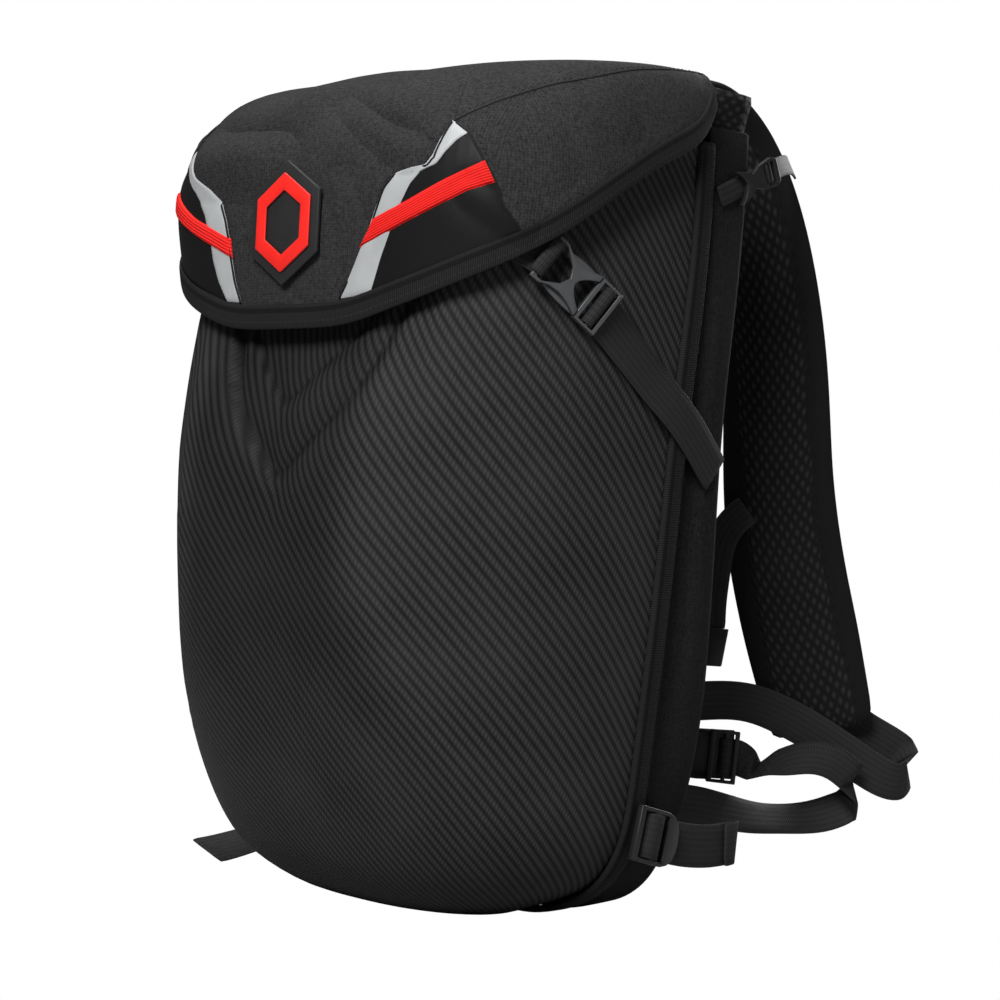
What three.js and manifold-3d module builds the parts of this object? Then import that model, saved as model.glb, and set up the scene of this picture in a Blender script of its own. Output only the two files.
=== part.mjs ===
// Motorcycle backpack: a moulded front shell with a V recess, a cloth side wall, a padded back,
// a buckled lid with reflective and elastic bands, padded shoulder straps and their webbing.
// Millimetres. +Z up, the shell faces -Y, the straps +Y, +X to the viewer's right of the shell.
// The origin is on the flat base that the bag stands on, under the middle of the bag.
import * as THREE from "three";
import { mergeVertices } from "three/addons/utils/BufferGeometryUtils.js";
import Module from "manifold-3d";

const wasm = await Module();
wasm.setup();

// Driving dimensions
const GAP = 0.35; // between neighbouring pieces
const CLOTH = 2; // cloth wall of the side and lid
const SHELL_WALL = 3; // laminated foam of the moulded shell
const SHELL_TOP_Z = 445; // open top edge of the shell, under the lid
const CORNER_RADIUS = 70; // lower corners of the bag, seen from the front
const GROOVE = 4; // how far the base is raised where the binding passes under it
const BINDING = { ahead: 11, behind: 2.5, thickness: 3 }; // tape over the shell's rim
const SIDE_WALL = { topZ: 456, valley: 5, bulge: 2, tuck: 10 };
const BACK = { front: 82.35, crown: 6, baseZ: 6, topZ: 489.5, corner: 5, side: 2.2 };
// Tape on the lid's edge
const HEM = { frontZ: 328, slope: 0.7, height: 13, thickness: 2, corner: 24, swell: 16.5, bow: 7 };
const WEBBING = { wide: 25, narrow: 20, thickness: 1.6 };
const PAD = { width: 70, thickness: 13, edge: 3.5, bevel: 9 };
const PANEL = { thickness: 0.9 }; // inserts and reflective bands sewn on the lid
const ELASTIC = { width: 11.2, thickness: 1.4 };
const BUCKLE = { width: 36, length: 62, prong: 2.4, socket: 3.6, frame: 5 }; // as drawn, before it is scaled
const SIDE_BUCKLE = 0.78; // scale of the side buckles: 28 mm wide and 48 mm long

// Level sections of the shell, from the floor to its top edge: half width of the rim,
// how far back the rim lies, how far forward the front reaches, where the back edge is, and
// the exponent of the superellipse.
const SHELL_ROWS = [
  { z: 0, halfWidth: 142, rim: 52, front: -20, back: 100, exponent: 2.6 },
  { z: 6, halfWidth: 143, rim: 52, front: -38, back: 100, exponent: 2.6 },
  { z: 24, halfWidth: 145, rim: 53, front: -56, back: 101, exponent: 2.6 },
  { z: 55, halfWidth: 147, rim: 54, front: -72, back: 102, exponent: 2.6 },
  { z: 95, halfWidth: 150, rim: 55, front: -88, back: 102, exponent: 2.6 },
  { z: 165, halfWidth: 155, rim: 57, front: -105, back: 101, exponent: 2.6 },
  { z: 240, halfWidth: 158, rim: 60, front: -111, back: 98, exponent: 2.6 },
  { z: 295, halfWidth: 159, rim: 63, front: -104, back: 98, exponent: 2.75 },
  { z: 335, halfWidth: 160, rim: 67, front: -92, back: 101, exponent: 3.0 },
  { z: 390, halfWidth: 159, rim: 73, front: -80, back: 107, exponent: 3.2 },
  { z: 445, halfWidth: 155, rim: 78, front: -66, back: 113, exponent: 3.2 },
  { z: 475, halfWidth: 153, rim: 79, front: -52, back: 115, exponent: 3.2 },
];

// Level sections of the lid, up to its crown at the back.
const LID_BACK_Y = 82;
const LID_ROWS = [
  { z: 325, halfWidth: 168, front: -95, exponent: 3.1 },
  { z: 365, halfWidth: 170, front: -97, exponent: 3.4 },
  { z: 408, halfWidth: 170, front: -97, exponent: 4.0 },
  { z: 435, halfWidth: 169, front: -92, exponent: 3.8 },
  { z: 452, halfWidth: 167, front: -83, exponent: 3.5 },
  { z: 465, halfWidth: 164, front: -73, exponent: 3.2 },
  { z: 475, halfWidth: 160, front: -56, exponent: 3.1 },
  { z: 481, halfWidth: 155, front: -36, exponent: 3.1 },
  { z: 485, halfWidth: 148, front: -6, exponent: 3.1 },
  { z: 488, halfWidth: 136, front: 36, exponent: 3.0 },
  { z: 490, halfWidth: 96, front: 82, exponent: 2.8 },
];

// The V recess of the shell: two steps, each with its lowest point, the rise of its arms,
// its depth and the width of its sloping edge.
const RECESS_STEPS = [
  { apexZ: 258, rise: 1.05, depth: 8, edge: 18 },
  { apexZ: 294, rise: 1.15, depth: 5, edge: 14 },
];
const RIDGE = { x: 64, width: 34, height: 3.2 }; // soft crest either side of the middle of the shell

const smooth = (t) => {
  const k = Math.min(1, Math.max(0, t));
  return k * k * (3 - 2 * k);
};
const lerp = (a, b, t) => a + (b - a) * t;
const vec = (x, y, z) => new THREE.Vector3(x, y, z);

// One column of a table of sections at height z, as a smooth curve through its rows.
function column(rows, name, z) {
  const last = rows.length - 1;
  let i = rows.findIndex((row) => row.z > z) - 1;
  if (i < 0) i = z < rows[0].z ? 0 : last - 1;
  const slope = (k) => {
    const low = rows[Math.max(0, k - 1)];
    const high = rows[Math.min(last, k + 1)];
    return (high[name] - low[name]) / (high.z - low.z);
  };
  const step = rows[i + 1].z - rows[i].z;
  const t = Math.min(1, Math.max(0, (z - rows[i].z) / step));
  const lift = t * (1 - t) * (1 - t) * slope(i) * step - t * t * (1 - t) * slope(i + 1) * step;
  return lerp(rows[i][name], rows[i + 1][name], smooth(t)) + lift;
}

// Half width of the body at height z, with its rounded lower corners.
function halfWidth(z) {
  const side = column(SHELL_ROWS, "halfWidth", z);
  if (z >= CORNER_RADIUS) return side;
  const drop = 1 - Math.max(0, z) / CORNER_RADIUS;
  return side - CORNER_RADIUS * (1 - Math.sqrt(1 - drop * drop));
}
const rimY = (z) => column(SHELL_ROWS, "rim", z);

// How far the underside is raised near the rim, so that the binding stays above the floor.
function grooveLift(y, z) {
  const offRim = y < rimY(z) ? rimY(z) - y - BINDING.ahead - 8 : y - rimY(z) - BINDING.behind - 4;
  return GROOVE * (1 - smooth(z / 34)) * (1 - smooth(offRim / 4));
}

// A point of a superellipse section: turn runs from -1, the left end, through 0, the front, to 1.
function sectionPoint(turn, width, back, front, exponent) {
  const angle = (Math.PI / 2) * turn;
  const s = Math.abs(Math.sin(angle));
  const c = Math.abs(Math.cos(angle));
  const reach = Math.pow(Math.pow(s, exponent) + Math.pow(c, exponent), -1 / exponent);
  return [width * reach * s * Math.sign(turn), back - (back - front) * reach * c];
}

// How far the V recess and the crests move the shell's surface, positive inwards.
function shellRelief(x, z) {
  let inwards = 0;
  for (const step of RECESS_STEPS) {
    const line = step.apexZ + step.rise * (Math.hypot(x, 8) - 8);
    inwards += step.depth * smooth((z - line) / step.edge + 0.5);
  }
  const crest = Math.exp(-(((Math.abs(x) - RIDGE.x) / RIDGE.width) ** 2));
  const fade = smooth((z - 30) / 90) * (1 - smooth((z - 250) / 70));
  return inwards - RIDGE.height * crest * fade;
}

// Rows of the shell: the first run along its underside, from the rim forward to the belly.
const UNDERSIDE_REACH = [0, 0.24, 0.37, 0.8];
// Heights of the other rows: how many steps lead up to each height, closest where the recess is.
const SHELL_STEPS = [
  { z: 1.2, steps: 1 },
  { z: 110, steps: 6 },
  { z: 245, steps: 4 },
  { z: 345, steps: 8 },
  { z: SHELL_TOP_Z, steps: 3 },
];
const SHELL_HEIGHTS = SHELL_STEPS.flatMap(({ z, steps }, i) => {
  const from = i ? SHELL_STEPS[i - 1].z : 0;
  return Array.from({ length: steps }, (_, k) => lerp(from, z, (k + 1) / steps));
});
const SHELL_LEVELS = UNDERSIDE_REACH.length + SHELL_HEIGHTS.length;
const shellLevel = (row) => SHELL_HEIGHTS[row - UNDERSIDE_REACH.length];
// A point of the shell on its outer face or a given depth inside it.
function shellPoint(turn, row, inside) {
  const under = row < UNDERSIDE_REACH.length;
  const z = under ? 0 : shellLevel(row);
  const rim = rimY(z);
  const reach = under ? UNDERSIDE_REACH[row] : 1;
  const front = rim + (column(SHELL_ROWS, "front", z) + inside - rim) * reach;
  const [x, y] = sectionPoint(turn, halfWidth(z) - inside, rim, front, column(SHELL_ROWS, "exponent", z));
  const ahead = (rim - y) / Math.max(1, rim - front);
  const raised = z + grooveLift(y, z) + inside * (1 - smooth(z / 24));
  return vec(x, y + shellRelief(x, z) * ahead * ahead, raised);
}

// A closed solid between two grids of points with the same rows and columns.
function solidOf(outer, inner) {
  const rows = outer.length;
  const columns = outer[0].length;
  const at = (side, r, c) => side * rows * columns + r * columns + c;
  const index = [];
  const quad = (a, b, c, d) => index.push(a, b, c, a, c, d);
  for (let r = 0; r + 1 < rows; r++)
    for (let c = 0; c + 1 < columns; c++) {
      const outside = [at(0, r, c), at(0, r, c + 1), at(0, r + 1, c + 1), at(0, r + 1, c)];
      const within = [at(1, r, c), at(1, r + 1, c), at(1, r + 1, c + 1), at(1, r, c + 1)];
      for (const [p, q, s, t] of [outside, within])
        if (2 * c + 1 < columns) quad(q, s, t, p);
        else quad(p, q, s, t);
    }
  for (let c = 0; c + 1 < columns; c++) {
    quad(at(0, 0, c), at(1, 0, c), at(1, 0, c + 1), at(0, 0, c + 1));
    quad(at(0, rows - 1, c), at(0, rows - 1, c + 1), at(1, rows - 1, c + 1), at(1, rows - 1, c));
  }
  for (let r = 0; r + 1 < rows; r++) {
    const c = columns - 1;
    quad(at(0, r, 0), at(0, r + 1, 0), at(1, r + 1, 0), at(1, r, 0));
    quad(at(0, r, c), at(1, r, c), at(1, r + 1, c), at(0, r + 1, c));
  }
  return closed([...outer.flat(), ...inner.flat()], index);
}

// A closed solid through rings of points, with flat ends. Both faces of a twisted strip are split
// the same way.
function sweep(rings) {
  const n = rings[0].length;
  const index = [];
  for (let r = 0; r + 1 < rings.length; r++)
    for (let k = 0; k < n; k++) {
      const [a, b] = [r * n + k, r * n + ((k + 1) % n)];
      if (2 * k < n) index.push(a, b, b + n, a, b + n, a + n);
      else index.push(a, b, a + n, b, b + n, a + n);
    }
  const last = (rings.length - 1) * n;
  for (let k = 1; k + 1 < n; k++) index.push(0, k + 1, k, last, last + k, last + k + 1);
  return closed(rings.flat(), index);
}

// Geometry with merged corners and its faces turned outwards.
function closed(points, index) {
  const raw = new THREE.BufferGeometry().setFromPoints(points);
  raw.setIndex(index);
  const geometry = mergeVertices(raw, 1e-3);
  const p = geometry.attributes.position;
  const kept = [];
  let volume = 0;
  const corner = (i) => new THREE.Vector3().fromBufferAttribute(p, i);
  for (let i = 0; i < geometry.index.count; i += 3) {
    const [a, b, c] = [0, 1, 2].map((k) => geometry.index.getX(i + k));
    if (a === b || b === c || c === a) continue;
    kept.push(a, b, c);
    volume += corner(a).dot(corner(b).cross(corner(c)));
  }
  if (volume < 0) for (let i = 0; i < kept.length; i += 3) [kept[i], kept[i + 1]] = [kept[i + 1], kept[i]];
  geometry.setIndex(kept);
  return geometry;
}

// The same solid on the other side of the bag.
function mirrored(geometry) {
  const other = geometry.clone().scale(-1, 1, 1);
  const index = other.index.array;
  for (let i = 0; i < index.length; i += 3) [index[i], index[i + 1]] = [index[i + 1], index[i]];
  return other;
}

const grid = (rows, columns, point) =>
  Array.from({ length: rows }, (_, r) => Array.from({ length: columns }, (_, c) => point(r, c)));

const root = new THREE.Group();
const material = (color, roughness, metalness = 0) =>
  new THREE.MeshStandardMaterial({ color, roughness, metalness });
const FINISH = {
  carbon: material(0x232324, 0.5),
  cloth: material(0x1f2021, 0.85),
  tape: material(0x222324, 0.8),
  coated: material(0x2a2b2c, 0.55),
  reflective: material(0xb9bbbc, 0.4),
  elastic: material(0xe6261f, 0.7),
  webbing: material(0x252627, 0.75),
  plastic: material(0x3a3b3c, 0.4),
  mesh: material(0x161717, 0.9),
  rubber: material(0x1c1c1d, 0.6),
};
function add(name, geometry, finish) {
  const mesh = new THREE.Mesh(geometry, finish.clone());
  mesh.name = name;
  root.add(mesh);
}
function addPair(name, geometry, finish) {
  add(name + "_right", geometry, finish);
  add(name + "_left", mirrored(geometry), finish);
}

// Moulded shell: its columns are closer together at the front, where the recess is.
const SHELL_COLUMNS = 30;
const turnOf = (c, columns) => lerp(-1, 1, c / (columns - 1));
const shellTurn = (c) => lerp(turnOf(c, SHELL_COLUMNS) ** 3, turnOf(c, SHELL_COLUMNS), 0.6);
const shellGrid = (inside) =>
  grid(SHELL_LEVELS, SHELL_COLUMNS, (r, c) => shellPoint(shellTurn(c), r, inside));
add("front_shell", solidOf(shellGrid(0), shellGrid(SHELL_WALL)), FINISH.carbon);

// Outline of the body seen from the front, from its left top round the base to its right top.
function bodyOutline(topZ) {
  const right = [];
  for (let k = 0; k <= 2; k++) right.push([(halfWidth(0) * k) / 2, 0]);
  for (let k = 1; k <= 7; k++) {
    const z = CORNER_RADIUS * (1 - Math.cos((k / 7) * (Math.PI / 2)));
    right.push([halfWidth(z), z]);
  }
  for (let k = 1; k <= 9; k++) {
    const z = lerp(CORNER_RADIUS, topZ, k / 9);
    right.push([halfWidth(z), z]);
  }
  const left = right.slice(1).map(([x, z]) => [-x, z]);
  return [...left.reverse(), ...right];
}
// Points of a strip along the outline: a given depth y and outward offset for each of its edges.
function outlineGrid(outline, edges) {
  return outline.map(([x, z], i) => {
    const before = outline[Math.max(0, i - 1)];
    const after = outline[Math.min(outline.length - 1, i + 1)];
    const along = vec(after[0] - before[0], 0, after[1] - before[1]).normalize();
    const out = vec(along.z, 0, -along.x);
    return edges(z).map(([y, offset]) => vec(x, y, z + grooveLift(y, z)).addScaledVector(out, offset));
  });
}
function strip(outline, across, inner, outer) {
  const edges = (offset) => (z) => across.map((q) => [inner.y(z, q), offset(z, q)]);
  return solidOf(outlineGrid(outline, edges(outer.offset)), outlineGrid(outline, edges(inner.offset)));
}

const bindingY = (z, q) => rimY(z) + lerp(-BINDING.ahead, BINDING.behind, q);
add(
  "shell_binding",
  strip(
    bodyOutline(SHELL_TOP_Z),
    [0, 0.08, 0.92, 1],
    { y: bindingY, offset: () => 2 * GAP },
    { offset: (z, q) => 2 * GAP + BINDING.thickness * (q === 0 || q === 1 ? 0.55 : 1) },
  ),
  FINISH.tape,
);

// Side wall: cloth between the shell's rim and the back, creased beside the binding.
const backY = (z) => column(SHELL_ROWS, "back", z);
const wallY = (z, q) => lerp(rimY(z) + 2 * GAP, backY(z), q);
const wallTuck = (z) => SIDE_WALL.tuck * Math.exp(-(((z - 46) / 30) ** 2));
function wallFold(z, q) {
  const fade = smooth((z - 40) / 80) * (1 - smooth((z - 340) / 90));
  const inFront = (wallY(z, q) - rimY(z)) / (BACK.front - rimY(z));
  const valley = inFront < 1 ? Math.sin(Math.PI * inFront) ** 2 : 0;
  const bulge = inFront > 1 ? Math.sin(Math.PI * q) : 0;
  return fade * (SIDE_WALL.bulge * bulge - SIDE_WALL.valley * valley) - q * q * wallTuck(z);
}
add(
  "side_wall",
  strip(
    bodyOutline(SIDE_WALL.topZ),
    [0, 0.1, 0.3, 0.5, 0.75, 1],
    { y: wallY, offset: (z, q) => wallFold(z, q) - CLOTH },
    { offset: wallFold },
  ),
  FINISH.cloth,
);

// Lid: a point at a turn round it and a height, a given depth inside its outer face.
function lidPoint(turn, z, inside = 0) {
  const width = column(LID_ROWS, "halfWidth", z) - inside;
  const front = Math.min(LID_BACK_Y, column(LID_ROWS, "front", z) + inside);
  const [x, y] = sectionPoint(turn, width, LID_BACK_Y, front, column(LID_ROWS, "exponent", z));
  return vec(x, y, z - inside * smooth((z - 440) / 50));
}
// The same surface moved out along its normal.
function lidOver(turn, z, offset) {
  const step = 0.004;
  const around = lidPoint(turn + step, z).sub(lidPoint(turn - step, z));
  const up = lidPoint(turn, z + 0.5).sub(lidPoint(turn, z - 0.5));
  return lidPoint(turn, z).addScaledVector(around.cross(up).normalize(), offset);
}
const LID_REACH = 0.955; // how far round the sides the lid goes, where 1 is the back
// Height of the lid's lower edge: a sloping plane, bowed up round the front corners and turned up
// at the rounded back ones.
function hemZ(turn) {
  let z = HEM.frontZ;
  for (let pass = 0; pass < 5; pass++) {
    const at = lidPoint(turn, z);
    const run = Math.max(0, at.y - LID_ROWS[0].front);
    const swell = Math.sin((Math.PI * run) / (LID_BACK_Y - LID_ROWS[0].front));
    const bow = smooth((Math.abs(at.x) - 50) / 45) * (1 - smooth((Math.abs(at.x) - 125) / 35));
    z = HEM.frontZ + HEM.slope * run + HEM.swell * swell + HEM.bow * bow;
  }
  const edge = lidPoint(LID_REACH, z).y;
  const past = Math.min(1, Math.max(0, (lidPoint(turn, z).y - edge) / HEM.corner + 1));
  return z + HEM.corner * (1 - Math.sqrt(1 - past * past));
}
const LID_TOP_Z = LID_ROWS[LID_ROWS.length - 1].z;
const LID_LEVELS = 12;
const LID_COLUMNS = 29;
// Turn of a column of the lid: closer together towards the corners at its two ends.
function lidTurn(c) {
  const u = turnOf(c, LID_COLUMNS);
  return LID_REACH * u * (1.5 - 0.5 * Math.abs(u));
}
const lidGrid = (inside) =>
  grid(LID_LEVELS, LID_COLUMNS, (r, c) => {
    const turn = lidTurn(c);
    const rise = 1 - Math.pow(1 - r / (LID_LEVELS - 1), 1.5);
    return lidPoint(turn, lerp(hemZ(turn), LID_TOP_Z, rise), inside);
  });
add("lid_cap", solidOf(lidGrid(0), lidGrid(CLOTH)), FINISH.cloth);

// Hem tape on the lid's edge
const hemGrid = (offset) =>
  grid(4, LID_COLUMNS, (r, c) => {
    const turn = lidTurn(c) * 0.995;
    const rounding = r === 0 || r === 3 ? 0.6 : 1;
    return lidOver(turn, hemZ(turn) + HEM.height * [-0.08, 0.06, 0.9, 1][r], 2 * GAP + offset * rounding);
  });
add("lid_hem", solidOf(hemGrid(HEM.thickness), hemGrid(0)), FINISH.tape);

// Padded back: inside the side wall below, out to the lid's edge above it.
function backHalfWidth(z) {
  const clear = BACK.side + BACK.corner * (1 - smooth(z / 120));
  const inWall = halfWidth(z) - wallTuck(z) - CLOTH - clear;
  const underLid = column(LID_ROWS, "halfWidth", z) - 1;
  return lerp(inWall, underLid, smooth((z - SIDE_WALL.topZ - 1) / 8));
}
// The rear face of the back: two long pads with an air channel between them.
function backRear(x, z) {
  const across = x / backHalfWidth(z);
  const rise = (z - BACK.baseZ) / (BACK.topZ - BACK.baseZ);
  const pillow = Math.cos((Math.PI / 2) * across) * Math.sin(Math.PI * rise);
  const channel = Math.exp(-((across / 0.22) ** 2));
  return backY(z) - 1 + BACK.crown * pillow * (1 - 0.7 * channel);
}
const BACK_ROWS = 17;
const BACK_COLUMNS = 9;
const backGrid = (rear) =>
  grid(BACK_ROWS, BACK_COLUMNS, (r, c) => {
    const t = r / (BACK_ROWS - 1);
    const z = lerp(BACK.baseZ, BACK.topZ, lerp(t, 0.5 - 0.5 * Math.cos(Math.PI * t), 0.7));
    const x = backHalfWidth(z) * Math.sin((Math.PI / 2) * turnOf(c, BACK_COLUMNS));
    return vec(x, rear ? backRear(x, z) : BACK.front, z);
  });
add("back_panel", solidOf(backGrid(true), backGrid(false)), FINISH.mesh);

// A place on the lid by its distance x from the middle and its height.
function lidAt(x, z, offset) {
  const share = Math.pow(Math.abs(x) / column(LID_ROWS, "halfWidth", z), column(LID_ROWS, "exponent", z));
  const angle = Math.atan(Math.pow(share / (1 - share), 1 / column(LID_ROWS, "exponent", z)));
  return lidOver((angle / (Math.PI / 2)) * Math.sign(x), z, offset);
}
// A sewn-on panel: rows with a height and the x of its two edges.
function lidPanel(rows, across, offset, thickness) {
  const points = (lift) =>
    rows.map((row) =>
      Array.from({ length: across }, (_, k) => lidAt(lerp(row.from, row.to, k / (across - 1)), row.z, lift)),
    );
  return solidOf(points(offset + thickness), points(offset));
}

// The wavy seam beside the lid's middle panel, right half: x of the seam and width of its silver band.
const SEAM_ROWS = [
  { z: 346.5, seam: 46, band: 20.5 },
  { z: 359, seam: 54.4, band: 18 },
  { z: 373, seam: 63.6, band: 15.5 },
  { z: 387.5, seam: 70.7, band: 16 },
  { z: 401, seam: 76.5, band: 16.5 },
  { z: 408.5, seam: 83, band: 16 },
  { z: 412, seam: 95, band: 11.5 },
  { z: 414.5, seam: 103.5, band: 8 },
  { z: 419.5, seam: 107, band: 7 },
  { z: 427, seam: 109, band: 9.5 },
  { z: 431, seam: 109.8, band: 9.5 },
  { z: 436, seam: 110.6, band: 4 },
];
const PANEL_LIFT = 2.5 * GAP;
const silverRows = SEAM_ROWS.map(({ z, seam, band }) => ({ z, from: seam, to: seam + band }));
addPair("reflective_band", lidPanel(silverRows, 3, PANEL_LIFT, PANEL.thickness), FINISH.reflective);

// Smooth insert between the silver band and the seam of the lid's side: its lower and upper edge at each x.
const INSERT_ROWS = [
  { x: 70.4, low: 348, high: 351 },
  { x: 75, low: 349.6, high: 361 },
  { x: 82, low: 351.8, high: 375 },
  { x: 90, low: 354.6, high: 389 },
  { x: 96, low: 357, high: 400.5 },
  { x: 102, low: 359.6, high: 405.5 },
  { x: 111, low: 363.4, high: 409 },
  { x: 116.5, low: 366, high: 418.5 },
  { x: 122.5, low: 369, high: 425.5 },
  { x: 128, low: 372, high: 418.5 },
  { x: 134, low: 375.6, high: 408.5 },
  { x: 140, low: 379.6, high: 396 },
  { x: 144, low: 382.4, high: 386 },
];
const insertPoints = (lift) =>
  grid(INSERT_ROWS.length, 4, (r, c) => {
    const { x, low, high } = INSERT_ROWS[r];
    return lidAt(x, lerp(low, high, c / 3), lift);
  });
addPair(
  "lid_insert",
  solidOf(insertPoints(PANEL_LIFT + PANEL.thickness), insertPoints(PANEL_LIFT)),
  FINISH.coated,
);

// Red elastic across the silver band and the insert
const ELASTIC_RUN = { fromX: 62.5, fromZ: 372.4, toX: 136, toZ: 408 };
function elasticPoints(lift) {
  const slope = (ELASTIC_RUN.toZ - ELASTIC_RUN.fromZ) / (ELASTIC_RUN.toX - ELASTIC_RUN.fromX);
  const half = (ELASTIC.width / 2) * Math.hypot(1, slope);
  return grid(9, 3, (r, c) => {
    const x = lerp(ELASTIC_RUN.fromX, ELASTIC_RUN.toX, r / 8);
    return lidAt(x, ELASTIC_RUN.fromZ + slope * (x - ELASTIC_RUN.fromX) + half * (c - 1), lift);
  });
}
const ELASTIC_LIFT = PANEL_LIFT + PANEL.thickness + 1.6 * GAP;
addPair(
  "elastic_band",
  solidOf(elasticPoints(ELASTIC_LIFT + ELASTIC.thickness), elasticPoints(ELASTIC_LIFT)),
  FINISH.elastic,
);

// Badge: a plain rubber hexagon with a raised ring
function hexagon(radius, stretch) {
  const shape = new THREE.Shape();
  for (let k = 0; k < 6; k++) {
    const angle = (Math.PI / 3) * k + Math.PI / 6;
    const point = [radius * Math.cos(angle), radius * stretch * Math.sin(angle)];
    if (k) shape.lineTo(...point);
    else shape.moveTo(...point);
  }
  shape.closePath();
  return shape;
}
// A shape drawn across and along, raised from a place with given axes.
function plate(shape, thickness, origin, acrossAxis, alongAxis) {
  const raw = new THREE.ExtrudeGeometry(shape, { depth: thickness, bevelEnabled: false, curveSegments: 4 });
  raw.deleteAttribute("normal");
  raw.deleteAttribute("uv");
  const up = new THREE.Vector3().crossVectors(acrossAxis, alongAxis);
  const geometry = mergeVertices(raw, 1e-3);
  return geometry.applyMatrix4(new THREE.Matrix4().makeBasis(acrossAxis, alongAxis, up).setPosition(origin));
}
const BADGE = { z: 386, radius: 33, stretch: 1.06, base: 2.4, ring: 1.4, ringOuter: 0.8, ringInner: 0.52 };
const badgeAt = (lift) => vec(0, column(LID_ROWS, "front", BADGE.z) - 1.2 * GAP - lift, BADGE.z);
const badgePlate = (shape, thickness, lift) =>
  plate(shape, thickness, badgeAt(lift), vec(1, 0, 0), vec(0, 0, 1));
add("badge_base", badgePlate(hexagon(BADGE.radius, BADGE.stretch), BADGE.base, 0), FINISH.rubber);
const ringShape = hexagon(BADGE.radius * BADGE.ringOuter, BADGE.stretch);
ringShape.holes.push(hexagon(BADGE.radius * BADGE.ringInner, BADGE.stretch));
add("badge_ring", badgePlate(ringShape, BADGE.ring, BADGE.base + GAP), FINISH.elastic);

// The right side of the body: x of its outer face at a depth and height.
function sideX(y, z) {
  const ahead = (rimY(z) - y) / (rimY(z) - column(SHELL_ROWS, "front", z));
  if (ahead <= 0) return halfWidth(z);
  const exponent = column(SHELL_ROWS, "exponent", z);
  return halfWidth(z) * Math.pow(1 - Math.pow(ahead, exponent), 1 / exponent);
}
// The side fastening runs straight down and back from the lid: s millimetres along it, h off the body.
const FASTENING = { y: -54, z: 379.6, dy: 0.767, dz: -0.642, length: 188.5 };
function fasteningPoint(s, h) {
  const [y, z] = [FASTENING.y + FASTENING.dy * s, FASTENING.z + FASTENING.dz * s];
  const slope = (sideX(y + 1, z) - sideX(y - 1, z)) / 2;
  return vec(sideX(y, z), y, z).addScaledVector(vec(1, -slope, 0).normalize(), h);
}
function fasteningAxes(s) {
  const along = fasteningPoint(s + 20, 0).sub(fasteningPoint(s - 20, 0)).normalize();
  const out = fasteningPoint(s, 1).sub(fasteningPoint(s, 0));
  const across = new THREE.Vector3().crossVectors(out, along).normalize();
  return { along, across, out: new THREE.Vector3().crossVectors(along, across) };
}

// Side-release buckle drawn across (u) and along (v), its strap end at v = 0. The socket's arms
// curve towards each other like two brackets and meet in a bridge.
const half = BUCKLE.width / 2;
function socketShape() {
  const shape = new THREE.Shape();
  shape.moveTo(-half, 62);
  shape.lineTo(half, 62);
  shape.lineTo(half, 55);
  shape.quadraticCurveTo(half * 0.42, 40, half, 20.4);
  shape.lineTo(half * 0.72, 20.4);
  shape.quadraticCurveTo(half * 0.3, 33, 0, 33);
  shape.quadraticCurveTo(-half * 0.3, 33, -half * 0.72, 20.4);
  shape.lineTo(-half, 20.4);
  shape.quadraticCurveTo(-half * 0.42, 40, -half, 55);
  shape.closePath();
  const slot = new THREE.Path();
  slot.moveTo(-half * 0.86, 57.5);
  slot.lineTo(-half * 0.86, 53);
  slot.quadraticCurveTo(0, 23, half * 0.86, 53);
  slot.lineTo(half * 0.86, 57.5);
  slot.closePath();
  shape.holes.push(slot);
  return shape;
}
function prongShape() {
  const shape = new THREE.Shape();
  shape.moveTo(-half, 0);
  shape.lineTo(half, 0);
  shape.lineTo(half, 20);
  shape.lineTo(-half, 20);
  shape.closePath();
  for (const [low, high] of [
    [3, 7.4],
    [10, 16.5],
  ])
    shape.holes.push(slotPath(half * 0.89, low, high));
  return shape;
}
function slotPath(reach, low, high) {
  const slot = new THREE.Path();
  slot.moveTo(-reach, low);
  slot.lineTo(reach, low);
  slot.lineTo(reach, high);
  slot.lineTo(-reach, high);
  slot.closePath();
  return slot;
}
// One bowed prong, seen in the window beside the socket
function prongArm(side) {
  const shape = new THREE.Shape();
  shape.moveTo(side * half * 0.62, 17.5);
  shape.lineTo(side * half * 0.92, 17.5);
  shape.quadraticCurveTo(side * half * 1.02, 36, side * half * 0.86, 50);
  shape.lineTo(side * half * 0.66, 48);
  shape.quadraticCurveTo(side * half * 0.8, 36, side * half * 0.62, 17.5);
  return shape;
}
const flat = (shape, thickness, lift) => plate(shape, thickness, vec(0, 0, lift), vec(1, 0, 0), vec(0, 1, 0));
function toSolid(geometry) {
  return new wasm.Manifold(
    new wasm.Mesh({
      numProp: 3,
      vertProperties: new Float32Array(geometry.attributes.position.array),
      triVerts: new Uint32Array(geometry.index.array),
    }),
  );
}
function joined(...geometries) {
  const made = geometries.map(toSolid).reduce((a, b) => a.add(b)).getMesh();
  const points = Array.from({ length: made.numVert }, (_, i) =>
    vec(...made.vertProperties.subarray(i * made.numProp, i * made.numProp + 3)),
  );
  return closed(points, [...made.triVerts]);
}
const prongs = joined(
  flat(prongShape(), BUCKLE.frame, 0),
  flat(prongArm(1), BUCKLE.prong, 0),
  flat(prongArm(-1), BUCKLE.prong, 0),
);
const socket = flat(socketShape(), BUCKLE.socket, BUCKLE.prong + GAP);
// Axes of a flat piece: u across, v along towards its far end, w out of its face.
function axesOf(origin, along, out) {
  const v = along.clone().normalize();
  const u = new THREE.Vector3().crossVectors(v, out).normalize();
  return { origin, u, v, w: new THREE.Vector3().crossVectors(u, v) };
}
function placed(geometry, axes, scale = 1) {
  const turn = new THREE.Matrix4().makeBasis(axes.u, axes.v, axes.w).setPosition(axes.origin);
  return geometry.clone().scale(scale, scale, scale).applyMatrix4(turn);
}
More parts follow.
